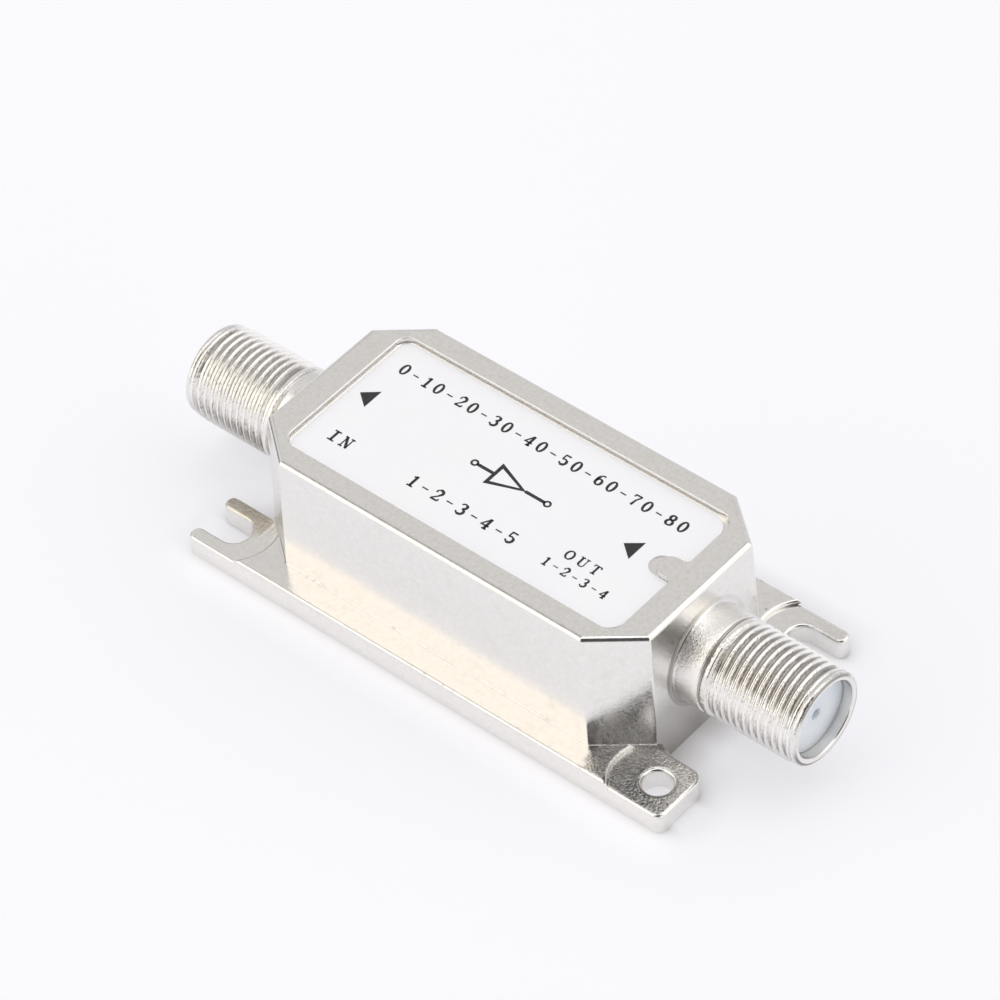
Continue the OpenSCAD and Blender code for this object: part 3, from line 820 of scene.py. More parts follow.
# electrolytic capacitor: crimped can in a printed sleeve, scored top
bm = bmesh.new()
b = bmesh.new()
prof = [(1.9, 0.25), (2.1, 0.27), (2.3, 0.36), (2.4, 0.52), (2.4, 1.05), (2.35, 1.2), (2.22, 1.32), (2.18, 1.4), (2.22, 1.5), (2.35, 1.62), (2.4, 1.75), (2.4, 6.15), (2.37, 6.28), (2.28, 6.38), (2.1, 6.43), (1.95, 6.43), (1.92, 6.4), (1.9, 6.36), (1.8, 6.36)]
n = 72
rows = [[b.verts.new((-2.65 + r * math.cos(2 * math.pi * i / n), 4.3 + r * math.sin(2 * math.pi * i / n), PART_Z + h)) for i in range(n)] for r, h in prof]
for q, (a, c2) in enumerate(zip(rows, rows[1:])):
    for i in range(n):
        f = b.faces.new((a[i], a[(i + 1) % n], c2[(i + 1) % n], c2[i]))
        f.material_index = 1 if q >= 14 else (2 if 4 <= i < 14 and q >= 3 else 0)
f = b.faces.new(rows[0][::-1])
f.material_index = 1
f = b.faces.new(rows[-1])
f.material_index = 1
me = bpy.data.meshes.new("t")
b.to_mesh(me)
b.free()
bm.from_mesh(me)
bpy.data.meshes.remove(me)
for turn_by in (0.4, 0.4 + math.pi / 2):
    block(bm, (-1.2, 1.2, -0.06, 0.06, 6.34, 6.375), 0.01, 1, Matrix.Translation((-2.65, 4.3, PART_Z)) @ Matrix.Rotation(turn_by, 4, "Z"), seg=1)
piece(bm, "supply_capacitor_can", "supply_capacitor", "capacitor_sleeve", "tinned_wire", "label_vinyl")

# drum cores and their windings
for sx, end in ((-14, "input"), (14, "output")):
    bm = bmesh.new()
    prof = [(2.1, 0.1), (2.24, 0.14), (2.3, 0.24), (2.3, 0.66), (2.25, 0.76), (2.12, 0.8), (1.2, 0.82), (1.1, 0.92), (1.1, 3.68), (1.2, 3.78), (2.12, 3.8), (2.25, 3.84), (2.3, 3.94), (2.3, 4.36), (2.24, 4.46), (2.1, 4.5)]
    turn(bm, prof, sx, 4.7, 64, 0, z=PART_Z)
    for y in (-1.6, 1.6):
        wire(bm, [(sx, 4.7 + y, PART_Z - 1.9), (sx, 4.7 + y, PART_Z - 1.82), (sx, 4.7 + y, PART_Z - 0.5), (sx, 4.7 + y, PART_Z + 0.18), (sx, 4.7 + y, PART_Z + 0.2)], 0.22, 16, 1)
    piece(bm, end + "_choke_drum", end + "_choke_core", "ferrite", "tinned_wire")
    bm = bmesh.new()
    path = []
    wr, turns = 0.155, 9.0
    for layer, rad in ((0, 1.28), (1, 1.57), (2, 1.75)):
        z0, z1 = (0.83 + wr, 3.77 - wr) if layer % 2 == 0 else (3.77 - wr, 0.83 + wr)
        steps = int(turns * 28)
        for i in range(steps):
            w = 2 * math.pi * turns * i / steps
            path.append((sx + rad * math.cos(w), 4.7 + rad * math.sin(w), PART_Z + z0 + (z1 - z0) * i / (steps - 1)))
    wire(bm, path, wr, 8)
    piece(bm, end + "_choke_coil", end + "_choke_winding", "enamelled_wire")

# air coil, wound as one wire with its two legs
bm = bmesh.new()
cx0, cy0, cz0 = -0.6, -5.0, PART_Z + 1.45
path = [(cx0 - 1.25, cy0 - 1.15, PART_Z + 0.1), (cx0 - 1.25, cy0 - 1.15, PART_Z + 0.5), (cx0 - 1.25, cy0 - 1.15, cz0 - 0.25)]
steps = 4 * 36
for i in range(steps + 1):
    w = math.pi + 2 * math.pi * 4.0 * i / steps
    path.append((cx0 - 1.2 + 2.4 * i / steps, cy0 + 1.15 * math.cos(w), cz0 + 1.15 * math.sin(w) * -1))
path += [(cx0 + 1.25, cy0 - 1.15, cz0 + 0.25), (cx0 + 1.28, cy0 - 1.12, cz0 + 0.1)]
path = path[:-2] + [(cx0 + 1.22, cy0 - 1.15, cz0 - 0.2), (cx0 + 1.25, cy0 - 1.15, PART_Z + 0.5), (cx0 + 1.25, cy0 - 1.15, PART_Z + 0.1)]
wire(bm, path, 0.25, 12)
piece(bm, "equaliser_air_coil", "equaliser_coil", "enamelled_wire")


def chips(name, node, slot, rows, soft):
    bm = bmesh.new()
    for x, y, deg, l, w, h in rows:
        m = Matrix.Translation((x, y, PART_Z)) @ Matrix.Rotation(math.radians(deg), 4, "Z")
        block(bm, (-l / 2 + 0.1, l / 2 - 0.1, -w / 2 + 0.02, w / 2 - 0.02, 0.02, h - 0.02), soft, 0, m)
        for s in (-1, 1):
            a, c2 = sorted((s * l / 2, s * (l / 2 - 0.32)))
            block(bm, (a, c2, -w / 2, w / 2, 0, h), soft, 1, m)
            # solder meniscus at the foot
            a, c2 = sorted((s * (l / 2 - 0.05), s * (l / 2 + 0.16)))
            block(bm, (a, c2, -w / 2 + 0.05, w / 2 - 0.05, 0, h * 0.35), 0.07, 1, m, draft=0.05)
    piece(bm, name, node, slot, "solder")


chips("coupling_capacitor_chips", "coupling_capacitors", "ceramic_chip", [(-14.75, -0.8, -40, 2, 1.2, 0.9), (-3.5, -1.6, 0, 2, 1.2, 0.9), (13.25, -0.85, 25, 2, 1.2, 0.9)], 0.07)
chips("decoupling_capacitor_chips", "decoupling_capacitors", "ceramic_chip", [(-12.6, -4.2, 90, 1.6, 0.8, 0.7), (-7.4, -4.2, 90, 1.6, 0.8, 0.7), (6.9, -4.2, 90, 1.6, 0.8, 0.7), (9.4, 6.1, 90, 1.6, 0.8, 0.7), (-8.6, 6, 90, 1.6, 0.8, 0.7), (10, -5.6, 0, 1.6, 0.8, 0.7)], 0.06)
chips("resistor_chips", "chip_resistors", "resistor_chip", [(-5, -4.2, 90, 1.6, 0.8, 0.5), (-13.2, 1.3, 0, 1.6, 0.8, 0.5), (-6.4, 0, 90, 1.6, 0.8, 0.5), (0.8, 1.3, 0, 1.6, 0.8, 0.5), (2.2, 6.4, 90, 1.6, 0.8, 0.5), (10.4, 0.4, 90, 1.6, 0.8, 0.5)], 0.04)

# surge diode with wrapped leads and a band
bm = bmesh.new()
m = Matrix.Translation((14.6, -5.0, PART_Z))
block(bm, (-2.1, 2.1, -1.3, 1.3, 0.15, 1.1), 0.06, 0, m)
block(bm, (-2.1, 2.1, -1.3, 1.3, 1.1, 2.05), 0.08, 0, m, draft=0.12)
block(bm, (-1.75, -1.35, -1.15, 1.15, 2.0, 2.065), 0.015, 2, m, seg=1)
for s in (-1, 1):
    strip(bm, [(s * 2.0, 1.02), (s * 2.3, 1.02), (s * 2.4, 0.98), (s * 2.45, 0.88), (s * 2.45, 0.25), (s * 2.4, 0.14), (s * 2.28, 0.09), (s * 1.85, 0.09)], 0.17, 0.7, "x", 0, 1, m)
piece(bm, "surge_diode_package", "surge_diode", "package_plastic", "tinned_wire", "label_vinyl")

# solder cones round the leads, and the bonds at the board's edge
bm = bmesh.new()
for x, y in [(-3.9, 4.3), (-1.4, 4.3)] + [(s * 14, y) for s in (-1, 1) for y in (3.1, 6.3)]:
    prof = [(0.26, 0.0), (0.36, 0.0), (0.42, 0.08), (0.46, 0.2), (0.53, 0.36), (0.66, 0.52), (0.82, 0.63), (0.95, 0.69), (0.93, 0.7), (0.26, 0.7)]
    turn(bm, prof, x, y, 32, ring=True, z=BOARD - 1.7)
piece(bm, "solder_cones", "solder_joints", "solder")
bm = bmesh.new()
for x in (-8, 8):
    for s in (-1, 1):
        prof = [(0.2, 0.02), (0.36, 0.0), (0.46, 0.06), (0.5, 0.2), (0.58, 0.42), (0.7, 0.62), (0.84, 0.76), (0.88, 0.8)]
        turn(bm, prof, x, s * 8.65, 32, z=BOARD - 1.8)
piece(bm, "ground_solder_bonds", "ground_solder", "solder")


# ---------------------------------------------------------------- materials
class Nodes:
    def __init__(self, name):
        self.mat = bpy.data.materials.new(name)
        self.mat.use_nodes = True
        self.t = self.mat.node_tree
        self.t.nodes.clear()
        self.out = self.t.nodes.new("ShaderNodeOutputMaterial")
        self.p = self.t.nodes.new("ShaderNodeBsdfPrincipled")
        self.t.links.new(self.p.outputs[0], self.out.inputs[0])
        tc = self.t.nodes.new("ShaderNodeTexCoord")
        sc = self.t.nodes.new("ShaderNodeVectorMath")
        sc.operation = "SCALE"
        sc.inputs["Scale"].default_value = 1000.0
        self.t.links.new(tc.outputs["Object"], sc.inputs[0])
        self.mm = sc.outputs[0]

    def link(self, a, b):
        self.t.links.new(a, b)

    def set(self, **kw):
        for k, v in kw.items():
            self.p.inputs[k.replace("_", " ")].default_value = v

    def noise(self, scale, detail=3.0, rough=0.5, vector=None, stretch=None, distortion=0.0):
        n = self.t.nodes.new("ShaderNodeTexNoise")
        n.inputs["Scale"].default_value = scale
        n.inputs["Detail"].default_value = detail
        n.inputs["Roughness"].default_value = rough
        n.inputs["Distortion"].default_value = distortion
        v = vector or self.mm
        if stretch:
            mp = self.t.nodes.new("ShaderNodeMapping")
            mp.inputs["Scale"].default_value = stretch
            self.link(v, mp.inputs[0])
            v = mp.outputs[0]
        self.link(v, n.inputs["Vector"])
        return n.outputs["Fac"]

    def voronoi(self, scale, feature="F1"):
        n = self.t.nodes.new("ShaderNodeTexVoronoi")
        n.feature = feature
        n.inputs["Scale"].default_value = scale
        self.link(self.mm, n.inputs["Vector"])
        return n.outputs["Distance"]

    def ramp(self, fac, stops):
        r = self.t.nodes.new("ShaderNodeValToRGB")
        els = r.color_ramp.elements
        while len(els) > len(stops):
            els.remove(els[-1])
        while len(els) < len(stops):
            els.new(0.5)
        for e, (pos, c) in zip(els, stops):
            e.position = pos
            e.color = (*c, 1.0) if isinstance(c, tuple) else (c, c, c, 1.0)
        self.link(fac, r.inputs[0])
        return r.outputs[0]

    def span(self, v, a, b, c, d, smooth=True):
        n = self.t.nodes.new("ShaderNodeMapRange")
        n.interpolation_type = "SMOOTHSTEP" if smooth else "LINEAR"
        for k, x in zip(("From Min", "From Max", "To Min", "To Max"), (a, b, c, d)):
            n.inputs[k].default_value = x
        self.link(v, n.inputs["Value"])
        return n.outputs[0]

    def math(self, op, a, b=None):
        n = self.t.nodes.new("ShaderNodeMath")
        n.operation = op
        for k, x in enumerate((a, b)):
            if x is None:
                continue
            if isinstance(x, (int, float)):
                n.inputs[k].default_value = x
            else:
                self.link(x, n.inputs[k])
        return n.outputs[0]

    def mix(self, fac, a, b, mode="MIX"):
        n = self.t.nodes.new("ShaderNodeMix")
        n.data_type = "RGBA"
        n.blend_type = mode
        for key, x in (("Factor", fac), ("A", a), ("B", b)):
            s = [i for i in n.inputs if i.name == key and (i.type == ("VALUE" if key == "Factor" else "RGBA"))][0]
            if isinstance(x, (int, float)):
                s.default_value = x
            elif isinstance(x, tuple):
                s.default_value = (*x, 1.0)
            else:
                self.link(x, s)
        return [o for o in n.outputs if o.type == "RGBA"][0]

    def xyz(self):
        n = self.t.nodes.new("ShaderNodeSeparateXYZ")
        self.link(self.mm, n.inputs[0])
        return n.outputs

    def bump(self, height, distance_mm, strength=1.0, normal=None):
        n = self.t.nodes.new("ShaderNodeBump")
        n.inputs["Strength"].default_value = strength
        n.inputs["Distance"].default_value = distance_mm * MM
        self.link(height, n.inputs["Height"])
        if normal is not None:
            self.link(normal, n.inputs["Normal"])
        return n.outputs[0]


def nickel():
    k = Nodes("nickel_casting")
    x, y, z = k.xyz()
    ax = k.math("ABSOLUTE", x)
    # rough cast skin: round the bosses, on the upper side of the ears and low on the corners
    ay = k.math("ABSOLUTE", y)
    front = k.span(y, -6.0, 2.0, 1.0, 0.22)
    side = k.span(x, -12.0, 12.0, 0.06, 1.0)
    edge = k.math("MULTIPLY", k.span(ay, 13.2, 13.42, 1.0, 0.0), k.span(ax, 27.5, 27.75, 1.0, 0.0))
    ears = k.math("MULTIPLY", k.math("MULTIPLY", k.span(z, 2.8, 3.0, 1.0, 0.0), k.span(ax, 18.2, 19.6, 0.0, 1.0)), k.math("MULTIPLY", edge, k.span(z, 1.6, 2.0, 0.0, 1.0)))
    d = k.math("SQRT", k.math("ADD", k.math("POWER", k.math("SUBTRACT", ax, SCREW_X), 2.0), k.math("POWER", k.math("SUBTRACT", ay, SCREW_Y), 2.0)))
    step = k.span(k.math("ABSOLUTE", k.math("SUBTRACT", d, 4.52)), 0.2, 0.34, 0.0, 1.0)
    ears = k.math("MULTIPLY", k.math("MULTIPLY", ears, step), k.math("MULTIPLY", k.span(d, 1.62, 1.85, 0.0, 1.0), k.span(ay, 7.2, 7.5, 0.0, 1.0)))
    corner = k.math("MULTIPLY", k.math("MULTIPLY", k.span(z, 3.0, 7.6, 0.9, 0.0), k.math("MULTIPLY", k.span(ax, 18.2, 18.8, 0.0, 1.0), k.span(ax, 22.75, 23.2, 1.0, 0.0))), k.math("MULTIPLY", k.span(ay, 7.0, 7.6, 0.0, 1.0), k.span(ay, 12.4, 13.2, 1.0, 0.0)))
    cast = k.math("MULTIPLY", k.math("MAXIMUM", ears, corner), k.math("MULTIPLY", front, side))
    r = k.math("SQRT", k.math("ADD", k.math("POWER", y, 2.0), k.math("POWER", k.math("SUBTRACT", z, PORT_Z), 2.0)))
    boss = k.math("MULTIPLY", k.span(ax, 22.3, 22.6, 0.0, 1.0), k.span(ax, 25.0, 25.1, 1.0, 0.0))
    boss = k.math("MULTIPLY", boss, k.span(r, 5.1, 5.6, 1.0, 0.0))
    prong = k.math("MULTIPLY", k.math("MULTIPLY", ears, k.span(x, -22.5, -22.0, 0.6, 0.0)), k.math("MULTIPLY", k.span(y, -10.6, -9.0, 0.0, 1.0), front))
    boss = k.math("MULTIPLY", boss, k.span(x, -10.0, 10.0, 0.6, 1.0))
    zone = k.math("MAXIMUM", k.math("MAXIMUM", cast, prong), boss)
    port_on = k.math("MULTIPLY", k.span(ax, 25.2, 25.4, 0.0, 1.0), k.math("MULTIPLY", k.span(r, 4.2, 4.25, 0.0, 1.0), k.span(r, 4.78, 4.9, 1.0, 0.0)))
    grain = k.noise(5.0, 2.0, 0.58)
    n1 = k.bump(k.math("MULTIPLY", grain, k.math("SUBTRACT", zone, k.math("MULTIPLY", boss, 0.15))), 0.06)
    n2 = k.bump(k.noise(6.5, 3.0, 0.6), 0.005, 1.0, n1)
    n3 = k.bump(k.noise(0.9, 3.0, 0.55), 0.012, 1.0, n2)
    n4 = k.bump(k.noise(0.16, 2.0, 0.5), 0.045, 1.0, n3)
    n5 = k.bump(k.math("MULTIPLY", k.noise(3.6, 3.0, 0.6), port_on), 0.04, 1.0, n4)
    n6 = k.bump(k.math("MULTIPLY", k.noise(1.3, 3.0, 0.6), port_on), 0.1, 1.0, n5)
    k.link(n6, k.p.inputs["Normal"])
    rim = k.span(z, 15.3, 15.75, 0.0, 1.0)
    calm = k.ramp(k.noise(2.0, 5.0, 0.68), [(0.34, (0.83, 0.812, 0.79)), (0.5, (0.855, 0.838, 0.818)), (0.66, (0.88, 0.865, 0.845))])
    lively = k.ramp(k.noise(2.4, 5.0, 0.7), [(0.32, (0.80, 0.782, 0.757)), (0.5, (0.85, 0.832, 0.81)), (0.68, (0.885, 0.87, 0.855))])
    tone = k.mix(rim, calm, lively)
    stain = k.span(k.noise(0.35, 3.0, 0.6), 0.56, 0.72, 0.0, 0.3)
    col = k.mix(stain, tone, (0.76, 0.72, 0.665))
    clump = k.span(k.noise(1.3, 3.0, 0.6), 0.38, 0.62, 0.5, 1.0)
    inner_arm = k.math("MULTIPLY", k.math("MULTIPLY", k.span(x, -22.6, -22.2, 1.0, 0.0), k.span(z, 2.1, 2.25, 0.0, 1.0)), k.math("MULTIPLY", k.span(y, -11.2, -8.6, 0.0, 1.0), k.span(y, -7.0, -6.0, 1.0, 0.0)))
    col = k.mix(k.math("MULTIPLY", inner_arm, k.span(k.noise(1.1, 4.0, 0.7), 0.3, 0.7, 0.35, 0.85)), col, (0.66, 0.6, 0.49))
    # dirt and painted shade: painted shade in the thread roots, on the lower side of the threads, in the groove, in
    # the bore and at the foot of the +X boss, a painted reflection on the +X end wall, pits of the cast skin, and dark
    # specks in the roots, in the flange crease and along the flange's front edge; painted highlights lighten the boss
    # fronts and upper threads
    threads = k.math("MULTIPLY", k.span(ax, 25.9, 26.2, 0.0, 1.0), k.span(r, 4.2, 4.25, 0.0, 1.0))
    # painted highlight: the front of each boss is lightened, more on the +X boss
    col = k.mix(k.math("MULTIPLY", boss, k.span(y, -2.5, 1.5, 0.9, 0.0)), col, (0.985, 0.965, 0.94))
    port = k.math("MULTIPLY", threads, k.math("MULTIPLY", k.span(r, 4.78, 4.9, 1.0, 0.0), k.span(ax, 34.8, 35.2, 1.0, 0.0)))
    # painted highlight: the upper side of the threads is lightened by height
    col = k.mix(k.math("MULTIPLY", port, k.span(z, PORT_Z - 0.4, PORT_Z + 1.6, 0.0, 0.9)), col, (0.985, 0.965, 0.94))
    # painted shade: darkening of the lower side of the threads, by height
    low = k.math("MULTIPLY", port, k.span(z, PORT_Z - 2.0, PORT_Z + 0.6, 0.2, 0.0))
    # painted shade in the thread roots, heavy at the top and the bottom of each port and light between
    zz = k.math("SUBTRACT", z, k.span(x, -10.0, 10.0, 1.1, 0.0))
    above = k.math("MAXIMUM", k.span(zz, PORT_Z + 2.3, PORT_Z + 3.2, 0.04, 0.75), k.span(z, PORT_Z - 1.8, PORT_Z + 0.8, 0.9, 0.0))
    root = k.math("MULTIPLY", threads, k.math("MULTIPLY", k.span(r, 4.39, 4.58, 1.0, 0.0), above))
    # painted shade in the groove between boss and thread, weaker on the -X port
    groove_shade = k.math("MULTIPLY", k.math("MULTIPLY", k.span(ax, 24.95, 25.08, 0.0, 1.0), k.span(ax, 25.3, 25.42, 1.0, 0.0)), k.math("MULTIPLY", k.span(r, 4.54, 4.69, 0.65, 0.0), k.span(x, -10.0, 10.0, 0.2, 1.0)))
    # dark pits of the cast skin; the painted reflection and painted shade below join them
    pits_and_shade = k.math("MULTIPLY", k.math("MULTIPLY", k.math("MULTIPLY", cast, step), clump), k.span(grain, 0.36, 0.54, 1.0, 0.42))
    pits_and_shade = k.math("MULTIPLY", pits_and_shade, k.math("MULTIPLY", k.span(ax, 22.5, 26.0, 0.5, 1.0), k.span(ay, 8.0, 12.0, 0.6, 1.0)))
    pits_and_shade = k.math("MAXIMUM", pits_and_shade, k.math("MULTIPLY", boss, k.span(grain, 0.35, 0.44, 0.15, 0.0)))
    # painted reflection: the +X end wall beside and below the front of the boss is darkened
    end_wall_reflection = k.math("MULTIPLY", k.math("MULTIPLY", k.span(x, 22.0, 22.1, 0.0, 0.5), k.span(x, 23.1, 23.5, 1.0, 0.0)), k.math("MULTIPLY", k.span(y, -7.55, -7.3, 0.0, 1.0), k.span(y, -2.0, 1.5, 1.0, 0.0)))
    end_wall_reflection = k.math("MULTIPLY", end_wall_reflection, k.math("MULTIPLY", k.span(z, 5.0, 9.5, 1.0, 0.0), k.span(r, 5.0, 5.4, 0.0, 1.0)))
    # painted shade round the foot of the +X boss, heavier towards the front
    boss_foot_shade = k.math("MULTIPLY", k.math("MULTIPLY", k.span(x, 22.0, 22.1, 0.0, 0.7), k.span(x, 22.75, 23.2, 1.0, 0.0)), k.math("MULTIPLY", k.span(r, 4.78, 4.9, 0.0, 1.0), k.span(r, 5.3, 5.6, 1.0, 0.0)))
    pits_and_shade = k.math("MAXIMUM", pits_and_shade, k.math("MAXIMUM", end_wall_reflection, k.math("MULTIPLY", boss_foot_shade, k.span(y, -3.0, 1.0, 1.0, 0.2))))
    # painted shade: a little darker inside the bore
    bore = k.math("MULTIPLY", k.span(ax, 25.4, 26.0, 0.0, 1.0), k.span(r, 3.7, 4.0, 0.05, 0.0))
    spots = k.span(k.noise(1.7, 4.0, 0.75), 0.56, 0.68, 0.0, 1.0)
    # random dark specks in the thread roots
    root = k.math("MAXIMUM", root, k.math("MULTIPLY", k.math("MULTIPLY", threads, spots), k.span(r, 4.4, 4.6, 0.4, 0.0)))
    crease = k.math("MULTIPLY", k.math("MULTIPLY", k.span(z, 2.72, 3.0, 0.5, 0.0), k.span(z, 2.6, 2.7, 0.0, 1.0)), k.math("MULTIPLY", k.span(ay, 11.0, 11.4, 1.0, 0.0), k.span(ay, 10.3, 10.6, 0.0, 1.0)))
    lip = k.math("MULTIPLY", k.math("MULTIPLY", k.span(z, 2.5, 2.72, 0.0, 0.55), k.span(ay, 13.1, 13.5, 0.0, 1.0)), spots)
    crease = k.math("MAXIMUM", k.math("MULTIPLY", crease, spots), lip)
    dirt_and_shade = k.math("MAXIMUM", k.math("MAXIMUM", k.math("MAXIMUM", root, low), pits_and_shade), k.math("MAXIMUM", k.math("MAXIMUM", bore, groove_shade), crease))
    # dirt and painted shade darken the colour to one dark brown
    col = k.mix(dirt_and_shade, col, (0.2, 0.185, 0.17))
    k.link(col, k.p.inputs["Base Color"])
    satin = k.math("MAXIMUM", k.math("MULTIPLY", boss, 0.13), k.math("MULTIPLY", k.math("MULTIPLY", corner, k.math("MULTIPLY", front, side)), 0.1))
    k.link(k.math("ADD", k.span(k.noise(3.4, 3.0, 0.6), 0.3, 0.7, 0.14, 0.25), satin), k.p.inputs["Roughness"])
    k.set(Metallic=1.0)
    return k.mat


def vinyl():
    k = Nodes("label_vinyl")
    tone = k.ramp(k.noise(0.12, 2.0, 0.5), [(0.3, (0.945, 0.95, 1.0)), (0.7, (0.96, 0.965, 1.0))])
    k.link(tone, k.p.inputs["Base Color"])
    k.link(k.span(k.noise(4.0, 3.0, 0.5), 0.3, 0.7, 0.42, 0.5), k.p.inputs["Roughness"])
    k.link(k.bump(k.noise(9.0, 2.0, 0.5), 0.003), k.p.inputs["Normal"])
    k.set(IOR=1.46)
    return k.mat


def ink():
    k = Nodes("label_ink")
    k.link(k.ramp(k.noise(6.0, 3.0, 0.6), [(0.3, (0.012, 0.012, 0.014)), (0.75, (0.03, 0.03, 0.033))]), k.p.inputs["Base Color"])
    k.link(k.span(k.noise(8.0, 2.0, 0.5), 0.3, 0.7, 0.4, 0.55), k.p.inputs["Roughness"])
    return k.mat


def milky():
    k = Nodes("insulator_plastic")
    k.link(k.ramp(k.noise(0.5, 3.0, 0.5), [(0.3, (0.77, 0.845, 1.0)), (0.7, (0.84, 0.895, 1.0))]), k.p.inputs["Base Color"])
    k.link(k.span(k.noise(3.0, 3.0, 0.5), 0.3, 0.7, 0.32, 0.42), k.p.inputs["Roughness"])
    k.link(k.bump(k.noise(4.0, 2.0, 0.5), 0.004), k.p.inputs["Normal"])
    k.set(Subsurface_Weight=0.7, Subsurface_Scale=0.0015, Subsurface_Radius=(1.0, 1.0, 1.0))
    return k.mat


def metal(name, a, b, rough=(0.2, 0.35), scale=2.0, grain=0.004, stretch=None):
    k = Nodes(name)
    k.link(k.ramp(k.noise(scale, 4.0, 0.6, stretch=stretch), [(0.3, a), (0.7, b)]), k.p.inputs["Base Color"])
    k.link(k.span(k.noise(scale * 2, 3.0, 0.6, stretch=stretch), 0.3, 0.7, *rough), k.p.inputs["Roughness"])
    k.link(k.bump(k.noise(scale * 3, 3.0, 0.5, stretch=stretch), grain), k.p.inputs["Normal"])
    k.set(Metallic=1.0)
    return k.mat


def plastic(name, a, b, rough=(0.4, 0.55), scale=2.0, grain=0.006, coat=0.0):
    k = Nodes(name)
    k.link(k.ramp(k.noise(scale, 4.0, 0.6), [(0.3, a), (0.7, b)]), k.p.inputs["Base Color"])
    k.link(k.span(k.noise(scale * 2, 3.0, 0.6), 0.3, 0.7, *rough), k.p.inputs["Roughness"])
    k.link(k.bump(k.noise(scale * 5, 3.0, 0.5), grain), k.p.inputs["Normal"])
    if coat:
        k.set(Coat_Weight=coat)
    return k.mat


M = {
    "nickel_casting": nickel(),
    "label_vinyl": vinyl(),
    "label_ink": ink(),
    "insulator_plastic": milky(),
    "tinned_plate": metal("tinned_plate", (0.62, 0.63, 0.65), (0.74, 0.74, 0.75), (0.25, 0.4), 1.2, 0.006),
    "board_laminate": plastic("board_laminate", (0.012, 0.1, 0.035), (0.02, 0.15, 0.05), (0.25, 0.38), 0.8, 0.004),
    "board_copper": metal("board_copper", (0.72, 0.6, 0.38), (0.82, 0.72, 0.5), (0.25, 0.4), 1.5, 0.006),
    "contact_metal": metal("contact_metal", (0.8, 0.7, 0.42), (0.88, 0.8, 0.55), (0.15, 0.25), 2.0, 0.003),
    "package_plastic": plastic("package_plastic", (0.012, 0.012, 0.013), (0.03, 0.03, 0.032), (0.45, 0.6), 4.0, 0.01),
    "capacitor_sleeve": plastic("capacitor_sleeve", (0.008, 0.014, 0.07), (0.014, 0.022, 0.1), (0.2, 0.3), 1.0, 0.003),
    "tinned_wire": metal("tinned_wire", (0.7, 0.7, 0.71), (0.8, 0.8, 0.8), (0.2, 0.32), 3.0, 0.004),
    "ferrite": plastic("ferrite", (0.02, 0.019, 0.019), (0.05, 0.047, 0.045), (0.6, 0.75), 5.0, 0.015),
    "enamelled_wire": metal("enamelled_wire", (0.55, 0.2, 0.06), (0.68, 0.28, 0.1), (0.2, 0.3), 2.0, 0.002),
    "ceramic_chip": plastic("ceramic_chip", (0.36, 0.24, 0.13), (0.46, 0.32, 0.19), (0.5, 0.65), 6.0, 0.008),
    "resistor_chip": plastic("resistor_chip", (0.01, 0.01, 0.012), (0.025, 0.025, 0.028), (0.25, 0.4), 4.0, 0.004),
    "solder": metal("solder", (0.66, 0.67, 0.68), (0.78, 0.78, 0.79), (0.2, 0.35), 2.5, 0.01),
}


def dress(ob, *mats):
    me = ob.data
    while len(me.materials) < len(mats):
        me.materials.append(None)
    for slot, mat in zip(ob.material_slots, mats):
        slot.material = mat


dress(housing, M["nickel_casting"])
dress(label, M["label_vinyl"], M["label_ink"])
slot_of = {s["node"]: s["material_slot"] for s in frame["record"]["subparts"]}
for name, ob in nodes.items():
    for s in ob.material_slots:
        s.material = M[slot_of[name]]
for ob, names in dressed:
    dress(ob, *[M[n] for n in names])

# ---------------------------------------------------------------- floor and light
bm = bmesh.new()
bmesh.ops.create_grid(bm, x_segments=8, y_segments=8, size=1600)
floor = to_object(bm, "floor")
floor.location.z = -0.00002
k = Nodes("floor")
tone = k.ramp(k.noise(0.006, 1.0, 0.4), [(0.3, (0.93, 0.935, 0.975)), (0.7, (0.94, 0.945, 0.985))])
k.link(tone, k.p.inputs["Base Color"])
k.link(k.span(k.noise(0.02, 2.0, 0.4), 0.3, 0.7, 0.6, 0.7), k.p.inputs["Roughness"])
glow = k.t.nodes.new("ShaderNodeEmission")
# painted shadow: ambient occlusion within 4 mm darkens the floor's glow near the object
near = k.t.nodes.new("ShaderNodeAmbientOcclusion")
near.samples = 8
near.inputs["Distance"].default_value = 4.0 * MM
shade = k.span(near.outputs["AO"], 0.25, 1.0, 1.0, 0.0, smooth=False)
fx, fy, fz = k.xyz()
turn_x = k.math("MULTIPLY", fx, k.math("SIGN", fx))
turn_y = k.math("MULTIPLY", fy, k.math("SIGN", fx))
to_hole = k.math("SQRT", k.math("ADD", k.math("POWER", k.math("SUBTRACT", turn_x, SCREW_X), 2.0), k.math("POWER", k.math("ADD", turn_y, SCREW_Y), 2.0)))
# painted light: in front of the flange the shaded floor glows brighter than the plain floor
painted_front_light = k.math("MULTIPLY", shade, k.span(fy, -15.0, -12.5, 0.85, 0.0))
# the painted shadow is weakened in front of the flange, round the screw holes and towards +X
shade = k.math("MULTIPLY", k.math("MULTIPLY", shade, k.span(fy, -15.0, -11.5, 0.1, 1.0)), k.math("MULTIPLY", k.span(to_hole, 1.7, 2.4, 0.2, 1.0), k.span(fx, 26.5, 31.0, 1.0, 0.5)))
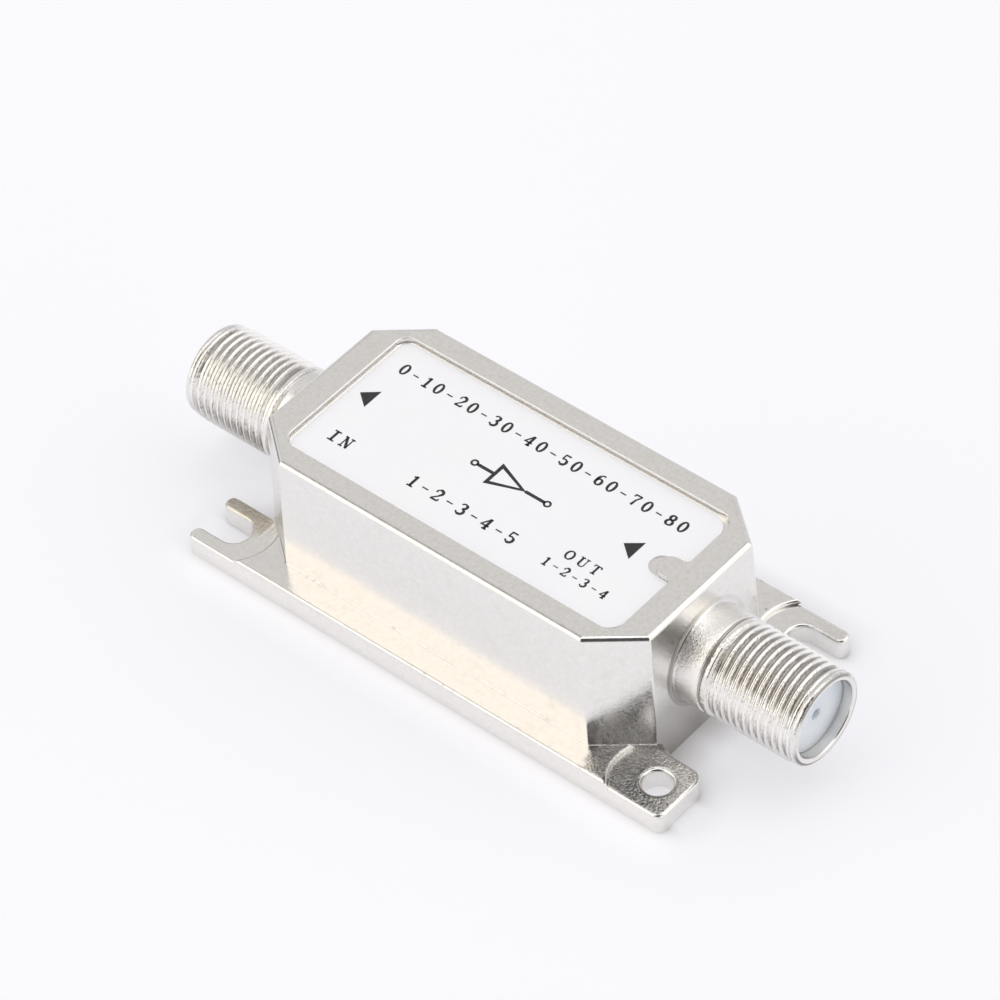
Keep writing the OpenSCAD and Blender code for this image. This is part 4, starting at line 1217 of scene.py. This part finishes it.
# the painted shadow is also weakened in the screw slots
in_slot = k.math("MULTIPLY", k.span(k.math("ABSOLUTE", k.math("SUBTRACT", k.math("ABSOLUTE", fy), SCREW_Y)), 1.3, 2.2, 1.0, 0.0), k.math("MULTIPLY", k.span(turn_x, 22.6, 23.4, 0.0, 1.0), k.span(turn_x, 28.5, 30.5, 1.0, 0.0)))
shade = k.math("MULTIPLY", shade, k.math("SUBTRACT", 1.0, k.math("MULTIPLY", in_slot, 0.75)))
bright = k.ramp(k.noise(0.006, 1.0, 0.4), [(0.3, (0.985, 0.98, 1.018)), (0.7, (1.0, 0.995, 1.033))])
# the glow mixes the plain floor tone with a painted shadow colour and a painted light colour
k.link(k.mix(painted_front_light, k.mix(shade, bright, (0.18, 0.155, 0.13)), (1.5, 1.47, 1.46)), glow.inputs["Color"])
blend = k.t.nodes.new("ShaderNodeMixShader")
blend.inputs[0].default_value = 0.6
k.link(k.p.outputs[0], blend.inputs[1])
k.link(glow.outputs[0], blend.inputs[2])
k.link(blend.outputs[0], k.out.inputs[0])
dress(floor, k.mat)

world = bpy.data.worlds.new("studio")
scene.world = world
world.use_nodes = True
wt = world.node_tree
wt.nodes.clear()
wo = wt.nodes.new("ShaderNodeOutputWorld")
wb = wt.nodes.new("ShaderNodeBackground")
wt.links.new(wb.outputs[0], wo.inputs[0])
tc = wt.nodes.new("ShaderNodeTexCoord")


def lobe(col, direction, inner, outer, tint):
    """Blends the studio's brightness towards tint around one direction; the angles are in degrees."""
    d = wt.nodes.new("ShaderNodeVectorMath")
    d.operation = "DOT_PRODUCT"
    v = Vector(direction).normalized()
    d.inputs[1].default_value = v
    wt.links.new(tc.outputs["Generated"], d.inputs[0])
    r = wt.nodes.new("ShaderNodeMapRange")
    r.interpolation_type = "SMOOTHSTEP"
    r.inputs["From Min"].default_value = math.cos(math.radians(outer))
    r.inputs["From Max"].default_value = math.cos(math.radians(inner))
    wt.links.new(d.outputs["Value"], r.inputs["Value"])
    x = wt.nodes.new("ShaderNodeMix")
    x.data_type = "RGBA"
    a = [i for i in x.inputs if i.name == "A" and i.type == "RGBA"][0]
    b = [i for i in x.inputs if i.name == "B" and i.type == "RGBA"][0]
    wt.links.new(r.outputs[0], x.inputs[0])
    if isinstance(col, tuple):
        a.default_value = (*col, 1)
    else:
        wt.links.new(col, a)
    b.default_value = (*tint, 1)
    return [o for o in x.outputs if o.type == "RGBA"][0]


c = (0.68, 0.685, 0.70)
c = lobe(c, (0, 0, 1), 12, 66, (1.62, 1.63, 1.66))
c = lobe(c, (-0.5, 0.52, 0.70), 14, 34, (0.72, 0.71, 0.70))
c = lobe(c, (-0.5, -0.5, 0.72), 12, 36, (1.5, 1.42, 1.3))
c = lobe(c, (-0.48, -0.72, 0.45), 12, 34, (1.42, 1.36, 1.25))
c = lobe(c, (-0.47, 0.0, 0.88), 4, 16, (0.34, 0.33, 0.32))
c = lobe(c, (0.75, 0.5, 0.42), 12, 36, (1.35, 1.3, 1.21))
c = lobe(c, (0.98, -0.1, 0.12), 10, 27, (1.2, 1.15, 1.07))
c = lobe(c, (-0.97, -0.06, 0.1), 8, 30, (0.3, 0.29, 0.28))
c = lobe(c, (0.6, -0.76, 0.25), 14, 30, (0.2, 0.19, 0.185))
c = lobe(c, (0.48, -0.5, 0.72), 24, 39, (0.07, 0.068, 0.066))
wt.links.new(c, wb.inputs[0])
wb.inputs[1].default_value = 1.0


def area(name, loc, target, size, power, tint):
    d = bpy.data.lights.new(name, "AREA")
    d.shape = "DISK"
    d.size = size
    d.energy = power
    d.color = tint
    ob = bpy.data.objects.new(name, d)
    scene.collection.objects.link(ob)
    ob.location = loc
    ob.rotation_mode = "QUATERNION"
    ob.rotation_quaternion = (Vector(target) - Vector(loc)).to_track_quat("-Z", "Y")
    ob.visible_camera = False
    ob.visible_glossy = False
    return ob


area("key", (-0.25, 0.05, 0.8), (0, 0, 0), 0.5, 0.5, (1.0, 0.985, 0.96))
